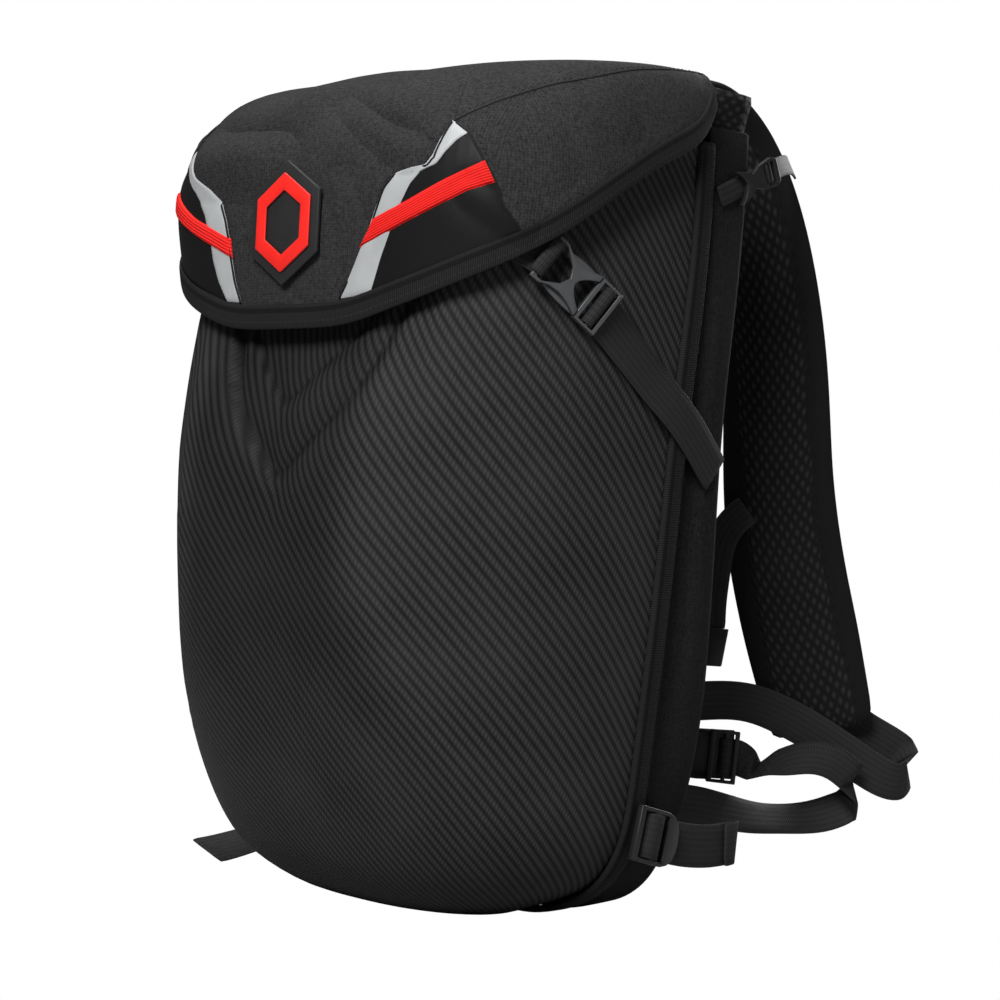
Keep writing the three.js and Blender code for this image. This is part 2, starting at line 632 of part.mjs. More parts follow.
// Stations of webbing that is led through a flat piece: places along it and out of it.
const ledThrough = (axes, rows, scale = 1) =>
  rows.map(({ v, w }) => ({
    at: axes.origin.clone().addScaledVector(axes.v, v * scale).addScaledVector(axes.w, w * scale).toArray(),
    across: axes.u.toArray(),
  }));
// The same stations with each direction across turned upwards.
const turnedUp = (rows) =>
  rows.map(({ at, across }) => ({ at, across: across.map((c) => c * Math.sign(across[2])) }));

// Side fastening: the lid's webbing round the socket's bar, and the strap from the prongs' frame
// over the binding to the back edge. Body rows give s along the fastening and h off the body.
const BUCKLE_PLACE = { middle: 40.4, lift: 3.7 };
const onBody = (rows) =>
  rows.map(({ s, h }) => ({
    at: fasteningPoint(s, h).toArray(),
    across: fasteningAxes(s).across.toArray(),
  }));
const bodyAxes = fasteningAxes(BUCKLE_PLACE.middle);
const buckle = axesOf(
  fasteningPoint(BUCKLE_PLACE.middle, BUCKLE_PLACE.lift).addScaledVector(
    bodyAxes.along,
    (SIDE_BUCKLE * BUCKLE.length) / 2,
  ),
  bodyAxes.along.clone().negate(),
  bodyAxes.out,
);
const LID_STRAP_LOOP = [
  { v: 64.8, w: 6.2 },
  { v: 61.6, w: 8.4 },
  { v: 57.4, w: 8.2 },
  { v: 55.1, w: 6.4 },
  { v: 54.9, w: 3.4 },
  { v: 57, w: 1.2 },
  { v: 61, w: 0.8 },
  { v: 67, w: 0.8 },
];
const lidStrap = [
  ...ledThrough(buckle, LID_STRAP_LOOP, SIDE_BUCKLE),
  ...onBody([
    { s: -2, h: 2.3 },
    { s: -9, h: 2 },
  ]),
];
const FRAME_WRAP = [
  { v: 12.6, w: 0.8 },
  { v: 12.3, w: 4 },
  { v: 11, w: 6.3 },
  { v: 8.7, w: 6.8 },
  { v: 6.3, w: 6 },
  { v: 5.2, w: 3.6 },
  { v: 4.9, w: 0.2 },
  { v: 3.2, w: -1.9 },
  { v: -1, w: -2.2 },
];
const compressionStrap = [
  ...ledThrough(buckle, FRAME_WRAP, SIDE_BUCKLE),
  ...onBody([
    { s: 77, h: 1.8 },
    { s: 95, h: 2 },
    { s: 112, h: 2.2 },
    { s: 125.3, h: 4 },
    { s: 136, h: 6 },
    { s: 159, h: 6 },
    { s: 173, h: 4 },
    { s: FASTENING.length, h: 2.6 },
  ]),
];
addPair("buckle_socket", placed(socket, buckle, SIDE_BUCKLE), FINISH.plastic);
addPair("buckle_prongs", placed(prongs, buckle, SIDE_BUCKLE), FINISH.plastic);
addPair("lid_strap", ribbon(lidStrap, WEBBING.wide - 2.2, WEBBING.thickness, 1), FINISH.webbing);
addPair(
  "compression_strap",
  ribbon(compressionStrap, WEBBING.wide - 0.9, WEBBING.thickness, 1),
  FINISH.webbing,
);

// Shoulder pads: the middle of each section, the direction across it and its width.
const PAD_ROWS = [
  { at: [54, 121.1, 458], across: [1, 0, 0], width: 60 },
  { at: [57, 130, 482], across: [1, 0, 0], width: 62 },
  { at: [62, 150, 497], across: [1, 0.05, 0], width: 66 },
  { at: [68, 178, 484], across: [1, 0.15, 0], width: 68 },
  { at: [75, 203, 448], across: [1, 0.3, 0], width: 69 },
  { at: [82, 222, 395], across: [1, 0.4, 0], width: 69 },
  { at: [87, 235, 330], across: [1, 0.45, 0], width: 69 },
  { at: [88, 241, 268], across: [1, 0.55, 0], width: 71 },
  { at: [91, 249, 215], across: [1, 0.65, 0], width: 74 },
  { at: [97, 264, 160], across: [1, 0.7, 0], width: 74 },
  { at: [104, 282, 100], across: [1, 0.7, 0], width: 68 },
];
// Places along rows of a strip: its middle and the directions along, across and out of it.
function framesAlong(rows, steps) {
  const curve = new THREE.CatmullRomCurve3(rows.map((r) => vec(...r.at)), false, "centripetal");
  const count = rows.length - 1;
  return Array.from({ length: count * steps + 1 }, (_, k) => {
    const t = k / (count * steps);
    const row = Math.min(count - 1, Math.floor(t * count));
    const part = t * count - row;
    const along = curve.getTangent(t);
    const blend = vec(...rows[row].across).lerp(vec(...rows[row + 1].across), part);
    const across = blend.addScaledVector(along, -blend.dot(along)).normalize();
    const over = new THREE.Vector3().crossVectors(along, across);
    const corner = (a, b) => curve.getPoint(t).addScaledVector(across, a).addScaledVector(over, b);
    return { corner, width: lerp(rows[row].width, rows[row + 1].width, part) };
  });
}
// A webbing ribbon through stations
function ribbon(stations, width, thickness, steps) {
  const [w, h] = [width / 2, thickness / 2];
  const rings = framesAlong(stations, steps).map(({ corner }) => [
    corner(-w, -h),
    corner(w, -h),
    corner(w, h),
    corner(-w, h),
  ]);
  return sweep(rings);
}
const padRings = framesAlong(PAD_ROWS, 2).map(({ corner, width }) => {
  const [edge, half, thick] = [width / 2, PAD.edge / 2, PAD.thickness / 2];
  const flatTo = edge - PAD.bevel;
  return [
    corner(-edge, -half),
    corner(-flatTo, -thick),
    corner(flatTo, -thick),
    corner(edge, -half),
    corner(edge, half),
    corner(flatTo, thick),
    corner(-flatTo, thick),
    corner(-edge, half),
  ];
});
addPair("shoulder_pad", sweep(padRings), FINISH.mesh);

// Lower webbing: from the back of the pad round a loop and across in front of it to the back panel.
const LOWER_ANCHOR = { x: 34, z: 124 };
const LOWER_ROUTE = [
  { at: [105.6, 292.2, 116], across: [0.82, 0.57, 0] },
  { at: [114, 303, 104], across: [0.75, 0.5, 0.35] },
  { at: [128, 317, 94], across: [0.35, 0.25, 0.9] },
  { at: [135, 324.5, 88], across: [0.1, 0.1, 1] },
  { at: [141, 326.5, 82], across: [0, 0, 1] },
  { at: [145, 320.5, 75], across: [0, 0, 1] },
  { at: [146, 312.5, 70], across: [0, 0, 1] },
  { at: [143, 303, 71], across: [0.1, 0.1, 1] },
  { at: [134.9, 292.9, 77.3], across: [0.2, 0.2, 1] },
  { at: [120.9, 278.9, 89.7], across: [0.2, 0.2, 1] },
  { at: [106, 266, 101.3], across: [0.2, 0.2, 1] },
  { at: [90.3, 254.3, 110.5], across: [0.2, 0.2, 1] },
  { at: [76.3, 242.3, 117], across: [0.1, 0.1, 1] },
  { at: [65, 226, 118], across: [0, 0, 1] },
  { at: [57, 200, 116], across: [0, 0, 1] },
  { at: [44, 150, 118], across: [0, 0, 1] },
  {
    at: [LOWER_ANCHOR.x, backRear(LOWER_ANCHOR.x, LOWER_ANCHOR.z) + 4 * GAP, LOWER_ANCHOR.z],
    across: [0, 0, 1],
  },
];
addPair("lower_webbing", ribbon(LOWER_ROUTE, WEBBING.wide, WEBBING.thickness, 1), FINISH.webbing);

// Waist belt: from the lower corner of the back out, round a turn and back to its buckle half.
const BELT_ANCHOR = { x: 116, z: 66 };
const beltBuckle = axesOf(vec(88, 216, 83.5), vec(-0.75, -0.66, 0.06), vec(0.66, -0.75, 0));
const BELT_SCALE = 0.92;
const BELT_ROUTE = [
  { at: [94, 223, 79.5], across: [-0.4, 0.4, 0.8] },
  { at: [99, 230, 77.5], across: [-0.75, 0.75, 0.2] },
  { at: [107, 238, 82], across: [-0.5, 0.5, 0.7] },
  { at: [120, 248, 87.4], across: [-0.35, 0.35, 0.87] },
  { at: [130.7, 259.7, 84.7], across: [-0.1, 0.1, 1] },
  { at: [136.5, 271, 75.5], across: [0.1, -0.1, 1] },
  { at: [135, 277.5, 64.5], across: [0.1, -0.1, 1] },
  { at: [127, 279.6, 54.5], across: [0, 0, 1] },
  { at: [117, 272, 48], across: [-0.3, 0.3, 0.9] },
  { at: [108, 258, 45], across: [-0.5, 0.5, 0.7] },
  { at: [102, 234, 46], across: [-0.6, 0.6, 0.6] },
  { at: [101.6, 209.6, 49], across: [-0.4, 0.2, 0.8] },
  { at: [106, 177, 55.7], across: [-0.2, 0, 1] },
  { at: [112, 141, 63], across: [0, 0, 1] },
  { at: [BELT_ANCHOR.x, backRear(BELT_ANCHOR.x, BELT_ANCHOR.z) + 2 * GAP, BELT_ANCHOR.z], across: [0, 0, 1] },
];
const beltWrap = turnedUp(ledThrough(beltBuckle, FRAME_WRAP, BELT_SCALE));
addPair("belt_buckle", placed(prongs, beltBuckle, BELT_SCALE), FINISH.plastic);
addPair(
  "waist_belt",
  ribbon([...beltWrap, ...BELT_ROUTE], WEBBING.wide * BELT_SCALE, WEBBING.thickness, 1),
  FINISH.webbing,
);

// Base slider: a ladder buckle with one round end, on the side wall above the base.
const SLIDER = { length: 38, width: 31, thickness: 4, round: 12 };
function sliderShape() {
  const [w, end] = [SLIDER.width / 2, SLIDER.length - SLIDER.round];
  const shape = new THREE.Shape();
  shape.moveTo(-w, 0);
  shape.lineTo(w, 0);
  shape.lineTo(w, end);
  shape.quadraticCurveTo(w * 0.9, SLIDER.length, 0, SLIDER.length);
  shape.quadraticCurveTo(-w * 0.9, SLIDER.length, -w, end);
  shape.closePath();
  shape.holes.push(slotPath(w - 2.4, 4, 13), slotPath(w - 2.4, 18, 27));
  return shape;
}
const slider = axesOf(vec(153.8, 44.5, 58.5), vec(-0.05, 0.97, -0.24), vec(1, 0.05, 0));
addPair("base_slider", placed(flat(sliderShape(), SLIDER.thickness, 0), slider), FINISH.plastic);
const SLIDER_WRAP = [
  { v: 8.6, w: -0.6 },
  { v: 9.6, w: 2.4 },
  { v: 11.6, w: 5.2 },
  { v: 15.5, w: 6 },
  { v: 19.6, w: 5.2 },
  { v: 22, w: 2 },
  { v: 25, w: -1.2 },
  { v: 32, w: -1.7 },
  { v: 42, w: -1 },
];
// The right tail hangs behind the slider with its end folded over; the left one turns forward to the floor.
const TAIL_RIGHT = [
  { at: [150.5, 98, 46], across: [0, 0.1, 1] },
  { at: [152, 116, 44.5], across: [0, 0.1, 1] },
  { at: [151, 135, 45.5], across: [0, 0.1, 1] },
  { at: [152.6, 137.6, 45.7], across: [0, 0.1, 1] },
  { at: [154, 135, 45.5], across: [0, 0.1, 1] },
  { at: [154.6, 125, 45], across: [0, 0.1, 1] },
];
const TAIL_LEFT = [
  { at: [153, 99, 42], across: [0.2, 0.1, 1] },
  { at: [163, 116, 30], across: [0.5, 0.1, 0.9] },
  { at: [174, 108, 19], across: [0.75, 0.15, 0.6] },
  { at: [177, 84, 12], across: [0.85, 0.1, 0.4] },
  { at: [169, 40, 9], across: [0.9, -0.1, 0.35] },
  { at: [153, 4, 8], across: [0.8, -0.3, 0.4] },
  { at: [143, -20, 8.5], across: [0.75, -0.4, 0.45] },
];
const sliderWrap = turnedUp(ledThrough(slider, SLIDER_WRAP));
const tail = (route) => ribbon([...sliderWrap, ...route], WEBBING.wide, WEBBING.thickness, 1);
add("webbing_tail_right", tail(TAIL_RIGHT), FINISH.webbing);
add("webbing_tail_left", mirrored(tail(TAIL_LEFT)), FINISH.webbing);

// Lifter: a tab on the wall, a forked buckle and webbing to the pad.
const LIFTER = { length: 34, width: 17, thickness: 3.2, webbing: 12 };
function lifterShape() {
  const w = LIFTER.width / 2;
  const shape = new THREE.Shape();
  shape.moveTo(-w * 1.15, -2);
  shape.quadraticCurveTo(-w * 0.75, 4, 0, 6);
  shape.quadraticCurveTo(w * 0.75, 4, w * 1.15, -2);
  shape.quadraticCurveTo(w * 0.9, 8, w * 0.5, 12);
  shape.lineTo(w * 0.85, 19);
  shape.lineTo(w, LIFTER.length - 4);
  shape.lineTo(w * 0.8, LIFTER.length);
  shape.lineTo(-w * 0.8, LIFTER.length);
  shape.lineTo(-w, LIFTER.length - 4);
  shape.lineTo(-w * 0.85, 19);
  shape.lineTo(-w * 0.5, 12);
  shape.quadraticCurveTo(-w * 0.9, 8, -w * 1.15, -2);
  shape.holes.push(slotPath(w * 0.76, 21.5, LIFTER.length - 3));
  return shape;
}
const lifter = axesOf(vec(161.5, 97, 422), vec(0.05, 0.9, 0.44), vec(1, 0, 0));
addPair("lifter_buckle", placed(flat(lifterShape(), LIFTER.thickness, 0), lifter), FINISH.plastic);
const LIFTER_TAB = [
  { at: [159.2, 84, 415.4], across: lifter.u.toArray() },
  { at: [159.4, 92, 419.3], across: lifter.u.toArray() },
  { at: [160.4, 104, 425.2], across: lifter.u.toArray() },
  { at: [161, 113, 429.6], across: lifter.u.toArray() },
];
addPair("lifter_strap", ribbon(LIFTER_TAB, LIFTER.webbing, WEBBING.thickness, 1), FINISH.webbing);
const LIFTER_WEBBING = [
  ...ledThrough(lifter, [
    { v: 24, w: 3 },
    { v: 27, w: 0.6 },
    { v: 32, w: -1.5 },
  ]),
  { at: [160, 136, 440], across: lifter.u.toArray() },
  { at: [142, 168, 448], across: [0.2, 0.3, -0.9] },
  { at: [113, 207.6, 451], across: [0.3, 0.4, -0.85] },
];
addPair("lifter_webbing", ribbon(LIFTER_WEBBING, LIFTER.webbing, WEBBING.thickness, 1), FINISH.webbing);

// Sternum strap: sewn to the front of each pad near its inner edge, with a clip at its end.
const STERNUM_ROUTE = [
  { at: [76.9, 227.4, 240], across: [-0.2, -0.12, -0.97] },
  { at: [69.4, 220.8, 232], across: [-0.35, -0.3, -0.9] },
  { at: [63, 217.2, 218], across: [0.7, 0.4, 0.5] },
  { at: [61, 217, 198], across: [0.83, 0.55, 0] },
  { at: [60, 215.5, 180], across: [0.83, 0.55, 0] },
  { at: [60.5, 215.5, 163], across: [0.83, 0.55, 0] },
];
addPair("sternum_strap", ribbon(STERNUM_ROUTE, WEBBING.narrow, WEBBING.thickness, 1), FINISH.webbing);
const CLIP = { width: 24, length: 23, thickness: 5 };
const clipAxes = axesOf(vec(60.5, 215.5, 163 - 2 * GAP), vec(0, 0, -1), vec(0.55, -0.83, 0));
const clipShape = new THREE.Shape();
clipShape.moveTo(-CLIP.width / 2, 0);
clipShape.lineTo(CLIP.width / 2, 0);
clipShape.lineTo(CLIP.width * 0.36, CLIP.length);
clipShape.lineTo(-CLIP.width * 0.36, CLIP.length);
clipShape.closePath();
addPair(
  "sternum_clip",
  placed(flat(clipShape, CLIP.thickness, -CLIP.thickness / 2), clipAxes),
  FINISH.plastic,
);

export default root;
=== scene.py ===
"""Looks of a motorcycle backpack: cloth, tape, webbing, padding and buckles over its CAD frame.

Metres, +Z up. The moulded shell faces -Y, the shoulder straps +Y, and +X is to the right of the shell.
"""

import logging
import math
from collections.abc import Callable, Sequence
from dataclasses import KW_ONLY, dataclass
from enum import Enum
from typing import Any

import bmesh
import bpy
from bmesh.types import BMEdge, BMesh, BMLoop, BMVert
from bpy.types import Material, Node, NodeSocket, NodeTree, Object
from mathutils import Matrix, Vector
from mathutils.bvhtree import BVHTree


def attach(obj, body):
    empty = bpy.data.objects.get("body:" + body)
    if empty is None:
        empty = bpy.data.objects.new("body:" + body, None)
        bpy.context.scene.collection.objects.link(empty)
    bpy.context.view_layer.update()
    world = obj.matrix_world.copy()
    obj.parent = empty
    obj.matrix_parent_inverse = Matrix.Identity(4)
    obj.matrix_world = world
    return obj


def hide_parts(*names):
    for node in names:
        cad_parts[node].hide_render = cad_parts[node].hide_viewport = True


MM = 0.001
LAY = "lay"  # UV map that holds a cloth's own run, in metres along and across
RIM = "rim"  # attribute that goes across a strip from -1 at one edge to 1 at the other
PAINTED_SHADE = "press_and_shade"  # attribute of painted shade: 1 where it is darkest, along the moulded cloth's creases and in the valley between its crests
SIDES = ("right", "left")
LEVELS = 2  # of subdivision, on every soft piece
RING = 8  # corners in one ring of a tape or a pad
MATH = "ShaderNodeMath"
TIMES = {"operation": "MULTIPLY"}
TIMES_PLUS = {"operation": "MULTIPLY_ADD"}
LOG = logging.getLogger("backpack")
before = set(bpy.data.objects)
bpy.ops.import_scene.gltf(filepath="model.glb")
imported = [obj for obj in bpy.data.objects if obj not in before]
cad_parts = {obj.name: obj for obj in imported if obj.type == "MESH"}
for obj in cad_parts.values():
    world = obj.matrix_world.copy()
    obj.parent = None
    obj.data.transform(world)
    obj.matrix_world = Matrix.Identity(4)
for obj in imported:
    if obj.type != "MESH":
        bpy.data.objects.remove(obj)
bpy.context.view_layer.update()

Link = Node | NodeSocket
Route = tuple[tuple[float, float, float], ...]


def linear(colour: str) -> tuple[float, float, float, float]:
    """Turns an sRGB hex colour into the linear colour that a shader takes.

    Args:
        colour: Hex colour such as "#202122".

    Returns:
        Red, green, blue and alpha, linear.
    """
    parts = [int(colour[i : i + 2], 16) / 255 for i in (1, 3, 5)]
    made = [c / 12.92 if c <= 0.04045 else ((c + 0.055) / 1.055) ** 2.4 for c in parts]
    return (made[0], made[1], made[2], 1.0)


def add_node(tree: NodeTree, kind: str, options: dict[str, Any], inputs: dict[Any, Any]) -> Node:
    """Adds one node to a tree with its settings and links.

    Args:
        tree: Node tree of a material or world.
        kind: Blender's name of the node type.
        options: Properties of the node by name.
        inputs: Values, sockets, or nodes that give their first output, by the input's name or number.

    Returns:
        The new node.
    """
    made = tree.nodes.new(kind)
    for name, value in options.items():
        setattr(made, name, value)
    for key, value in inputs.items():
        source = value.outputs[0] if isinstance(value, Node) else value
        if isinstance(source, NodeSocket):
            tree.links.new(source, made.inputs[key])
        else:
            made.inputs[key].default_value = source
    return made


def thread_rows(tree: NodeTree, run: Link, turn_deg: float, pitch_mm: float) -> Link:
    """Lays even rows of threads across a cloth's run.

    Args:
        tree: Node tree of the material.
        run: The cloth's run, in metres.
        turn_deg: Angle of the rows; at 0 they lie across the run.
        pitch_mm: Distance from row to row.

    Returns:
        The rows' height, from 0 to 1.
    """
    turn = {"Vector": run, "Rotation": (0, 0, math.radians(turn_deg))}
    turned = add_node(tree, "ShaderNodeMapping", {}, turn)
    bands = {"wave_type": "BANDS", "bands_direction": "X"}
    rows = {"Vector": turned, "Scale": math.pi / 10 / (pitch_mm * MM)}
    return add_node(tree, "ShaderNodeTexWave", bands, rows).outputs[1]


@dataclass(frozen=True)
class Finish:
    """A finish with a fine grain, as of a moulded plastic, rubber or film; a cloth has its weave instead."""

    name: str
    ground: str  # colour in the hollows
    crest: str  # colour of the grain or the threads
    _: KW_ONLY
    pitch_mm: float  # from grain to grain or thread to thread
    relief_mm: float
    roughness: float
    specular: float
    metallic: float = 0.0
    cloud_per_m: float = 60.0  # clouds make colour and gloss uneven
    cloud_detail: float = 3.0
    gloss_spread: float = 0.08

    def surface(self, tree: NodeTree, place: Link, cloud: Link) -> tuple[Link, Link]:
        """Adds the nodes of the grain.

        Args:
            tree: The material's nodes.
            place: The object's coordinates.
            cloud: The uneven clouds.

        Returns:
            Height of the relief, and share of the crest's colour.
        """
        grain = {"Vector": place, "Scale": 1 / (self.pitch_mm * MM)}
        return (add_node(tree, "ShaderNodeTexNoise", {}, grain), cloud)

    def make(self) -> Material:
        """Builds the material.

        Returns:
            The material, with its pattern in colour and relief and an uneven gloss.
        """
        material = bpy.data.materials.new(self.name)
        material.use_nodes = True
        tree = material.node_tree
        tree.nodes.clear()
        place = add_node(tree, "ShaderNodeTexCoord", {}, {}).outputs["Object"]
        clouds = {"Vector": place, "Scale": self.cloud_per_m, "Detail": self.cloud_detail}
        cloud = add_node(tree, "ShaderNodeTexNoise", {}, clouds)
        height, share = self.surface(tree, place, cloud)
        # The mix node takes colours at its inputs 6 and 7 and gives one at its output 2.
        colours = {0: share, 6: linear(self.ground), 7: linear(self.crest)}
        colour = add_node(tree, "ShaderNodeMix", {"data_type": "RGBA"}, colours).outputs[2]
        bump = add_node(tree, "ShaderNodeBump", {}, {"Distance": self.relief_mm * MM, "Height": height})
        low, high = self.roughness - self.gloss_spread, self.roughness + self.gloss_spread
        gloss = add_node(tree, "ShaderNodeMapRange", {}, {"Value": cloud, "To Min": low, "To Max": high})
        faces = {
            "Base Color": colour,
            "Roughness": gloss,
            "Normal": bump,
            "Metallic": self.metallic,
            "Specular IOR Level": self.specular,
        }
        shader = add_node(tree, "ShaderNodeBsdfPrincipled", {}, faces)
        add_node(tree, "ShaderNodeOutputMaterial", {}, {"Surface": shader})
        return material


class Pattern(Enum):
    """How a cloth is made, which gives its threads their relief."""

    TWILL = "raised diagonal ribs of short beads"
    PLAIN = "plain weave"
    WEBBING = "cross-ribbed strap"
    TAPE = "fine-ribbed binding tape"
    MESH = "soft dimples of a spacer mesh"
    ELASTIC = "lengthwise ribs of a knitted elastic"
    SMOOTH = "coated face with a faint grain"


@dataclass(frozen=True, kw_only=True)
class Cloth(Finish):
    """A woven, knitted or coated cloth whose pattern follows the piece's own run."""

    pattern: Pattern
    cloud_per_m: float = 22.0
    cloud_detail: float = 4.0
    gloss_spread: float = 0.06
    cloud_shift: float = 0.4  # how far the clouds move the colour
    rib_turn_deg: float = -39.0  # of a twill's ribs
    rib_power: float = 0.8  # under 1 broadens their crests
    bead_turn_deg: float = 20.0
    bead_share: float = 0.46  # pitch of the beads, to that of the ribs
    bead_depth: float = 0.5
    slant_deg: float = 58.0  # of the two ways that a spacer mesh runs
    cross_share: float = 0.6  # pitch across an elastic, to that of its ribs
    cross_depth: float = 0.25
    warp_share: float = 2.2  # pitch along a webbing, to that across
    weft_part: float = 0.6  # the crosswise threads' part in a weave
    slub_share: float = 0.8  # of a plain weave's uneven threads
    slub_height: tuple[float, float, float] = (0.4, 1.7, -0.55)  # weave, slubs and sink
    stitch_rows_mm: tuple[float, ...] = ()
    stitch_pitch_mm: float = 3.6
    stitch_gap: float = 0.3  # level under which a row is bare
    stitch_half_mm: float = 0.5
    stitch_rise: float = 1.6
    sunk_row_mm: tuple[float, float] | None = None  # middle and half width of a row that is sewn down
    sunk_row_fall: float = -0.9
    rim_from: float = 0.0  # share of the half width where a plain sewn border begins
    groove_half: float = 0.03
    groove_fall: float = -0.8
    shade_strength: float = 0.0  # how much darker painted shade makes the cloth where the shade attribute is full
    calm: float = 1.0  # share of the relief that is left where it is stretched flat
    mean_height: float = 0.42  # of a beaded rib

    def relief(self, tree: NodeTree, run: Link, place: Link) -> Link:
        """Adds the nodes of the threads.

        Args:
            tree: The material's nodes.
            run: The piece's own run, in metres.
            place: The object's coordinates.

        Returns:
            Height of the threads, from 0 to 1.
        """
        pitch = self.pitch_mm
        if self.pattern is Pattern.SMOOTH:
            grain = {"Vector": place, "Scale": 1 / (pitch * MM), "Detail": 3.0}
            return add_node(tree, "ShaderNodeTexNoise", {}, grain)
        if self.pattern is Pattern.TWILL:
            rows = thread_rows(tree, run, self.rib_turn_deg, pitch)
            ribs = add_node(tree, MATH, {"operation": "POWER"}, {0: rows, 1: self.rib_power})
            rows = thread_rows(tree, run, self.bead_turn_deg, pitch * self.bead_share)
            beads = add_node(tree, MATH, TIMES_PLUS, {0: rows, 1: self.bead_depth, 2: 1 - self.bead_depth})
            return add_node(tree, MATH, TIMES, {0: ribs, 1: beads})
        if self.pattern is Pattern.MESH:
            ways = [thread_rows(tree, run, turn, pitch) for turn in (self.slant_deg, -self.slant_deg)]
            return add_node(tree, MATH, TIMES, dict(enumerate(ways)))
        if self.pattern is Pattern.ELASTIC:
            rows = thread_rows(tree, run, 0, pitch * self.cross_share)
            fine = add_node(tree, MATH, TIMES_PLUS, {0: rows, 1: self.cross_depth, 2: 1 - self.cross_depth})
            return add_node(tree, MATH, TIMES, {0: thread_rows(tree, run, 90, pitch), 1: fine})
        across = thread_rows(tree, run, 0, pitch)
        if self.pattern is Pattern.TAPE:
            return across
        strap = self.pattern is Pattern.WEBBING
        along = thread_rows(tree, run, 90, pitch * (self.warp_share if strap else 1))
        warp = add_node(tree, MATH, TIMES, {0: along, 1: 1 - self.weft_part})
        weave = add_node(tree, MATH, TIMES_PLUS, {0: across, 1: self.weft_part, 2: warp})
        if strap:
            return weave
        slubs = {"Vector": place, "Scale": self.slub_share / (pitch * MM), "Detail": 2.0, "Roughness": 0.7}
        uneven = add_node(tree, "ShaderNodeTexNoise", {}, slubs)
        part, gain, sink = self.slub_height
        thick = add_node(tree, MATH, TIMES_PLUS, {0: uneven, 1: gain, 2: sink})
        return add_node(tree, MATH, TIMES_PLUS, {0: weave, 1: part, 2: thick})

    def sewn(self, tree: NodeTree, run: Link, height: Link) -> Link:
        """Adds a plain border, a sunk row and rows of stitches where the cloth has them.

        Args:
            tree: The material's nodes.
            run: The piece's own run, in metres.
            height: Height of the threads.

        Returns:
            The height with the sewing on it.
        """
        if self.rim_from:
            edge = add_node(tree, "ShaderNodeAttribute", {"attribute_name": RIM}, {}).outputs["Fac"]
            rim = add_node(tree, MATH, {"operation": "ABSOLUTE"}, {0: edge})
            inner = add_node(tree, MATH, {"operation": "LESS_THAN"}, {0: rim, 1: self.rim_from})
            band = {0: rim, 1: self.rim_from, 2: self.groove_half}
            groove = add_node(tree, MATH, {"operation": "COMPARE"}, band)
            fall = add_node(tree, MATH, TIMES, {0: groove, 1: self.groove_fall})
            height = add_node(tree, MATH, TIMES_PLUS, {0: height, 1: inner, 2: fall})
        if not (self.sunk_row_mm or self.stitch_rows_mm):
            return height
        across = add_node(tree, "ShaderNodeSeparateXYZ", {}, {"Vector": run}).outputs[1]
        if self.sunk_row_mm:
            middle, half = (part * MM for part in self.sunk_row_mm)
            sunk = add_node(tree, MATH, {"operation": "COMPARE"}, {0: across, 1: middle, 2: half})
            height = add_node(tree, MATH, TIMES_PLUS, {0: sunk, 1: self.sunk_row_fall, 2: height})
        rows = thread_rows(tree, run, 0, self.stitch_pitch_mm)
        dashes = add_node(tree, MATH, {"operation": "GREATER_THAN"}, {0: rows, 1: self.stitch_gap})
        for row in self.stitch_rows_mm:
            band = {0: across, 1: row * MM, 2: self.stitch_half_mm * MM}
            on_row = add_node(tree, MATH, {"operation": "COMPARE"}, band)
            stitch = add_node(tree, MATH, TIMES, {0: on_row, 1: dashes})
            height = add_node(tree, MATH, TIMES_PLUS, {0: stitch, 1: self.stitch_rise, 2: height})
        return height

    def surface(self, tree: NodeTree, place: Link, cloud: Link) -> tuple[Link, Link]:
        """Adds the nodes of the threads and the sewing, calmer where the cloth sits in the mould's steps and
        darkened there by painted shade.

        Args:
            tree: The material's nodes.
            place: The object's coordinates.
            cloud: The uneven clouds.

        Returns:
            Height of the relief, and share of the threads' colour.
        """
        run = add_node(tree, "ShaderNodeUVMap", {"uv_map": LAY}, {})
        height = self.sewn(tree, run, self.relief(tree, run, place))
        drift = add_node(tree, MATH, TIMES_PLUS, {0: cloud, 1: self.cloud_shift, 2: -self.cloud_shift / 2})
        clamped = {"operation": "ADD", "use_clamp": True}
        if not self.shade_strength:
            return (height, add_node(tree, MATH, clamped, {0: height, 1: drift}))
        press_and_shade = add_node(tree, "ShaderNodeAttribute", {"attribute_name": PAINTED_SHADE}, {}).outputs["Fac"]
        left = add_node(tree, MATH, TIMES_PLUS, {0: press_and_shade, 1: 1 - self.calm, 2: self.calm})
        flat = add_node(tree, MATH, TIMES_PLUS, {0: left, 1: -self.mean_height, 2: self.mean_height})
        height = add_node(tree, MATH, TIMES_PLUS, {0: height, 1: left, 2: flat})
        share = add_node(tree, MATH, clamped, {0: height, 1: drift})
        # Painted shade: darkens the colour by the shade attribute.
        shade = add_node(tree, MATH, TIMES_PLUS, {0: press_and_shade, 1: -self.shade_strength, 2: 1.0})
        return (height, add_node(tree, MATH, TIMES, {0: share, 1: shade}))


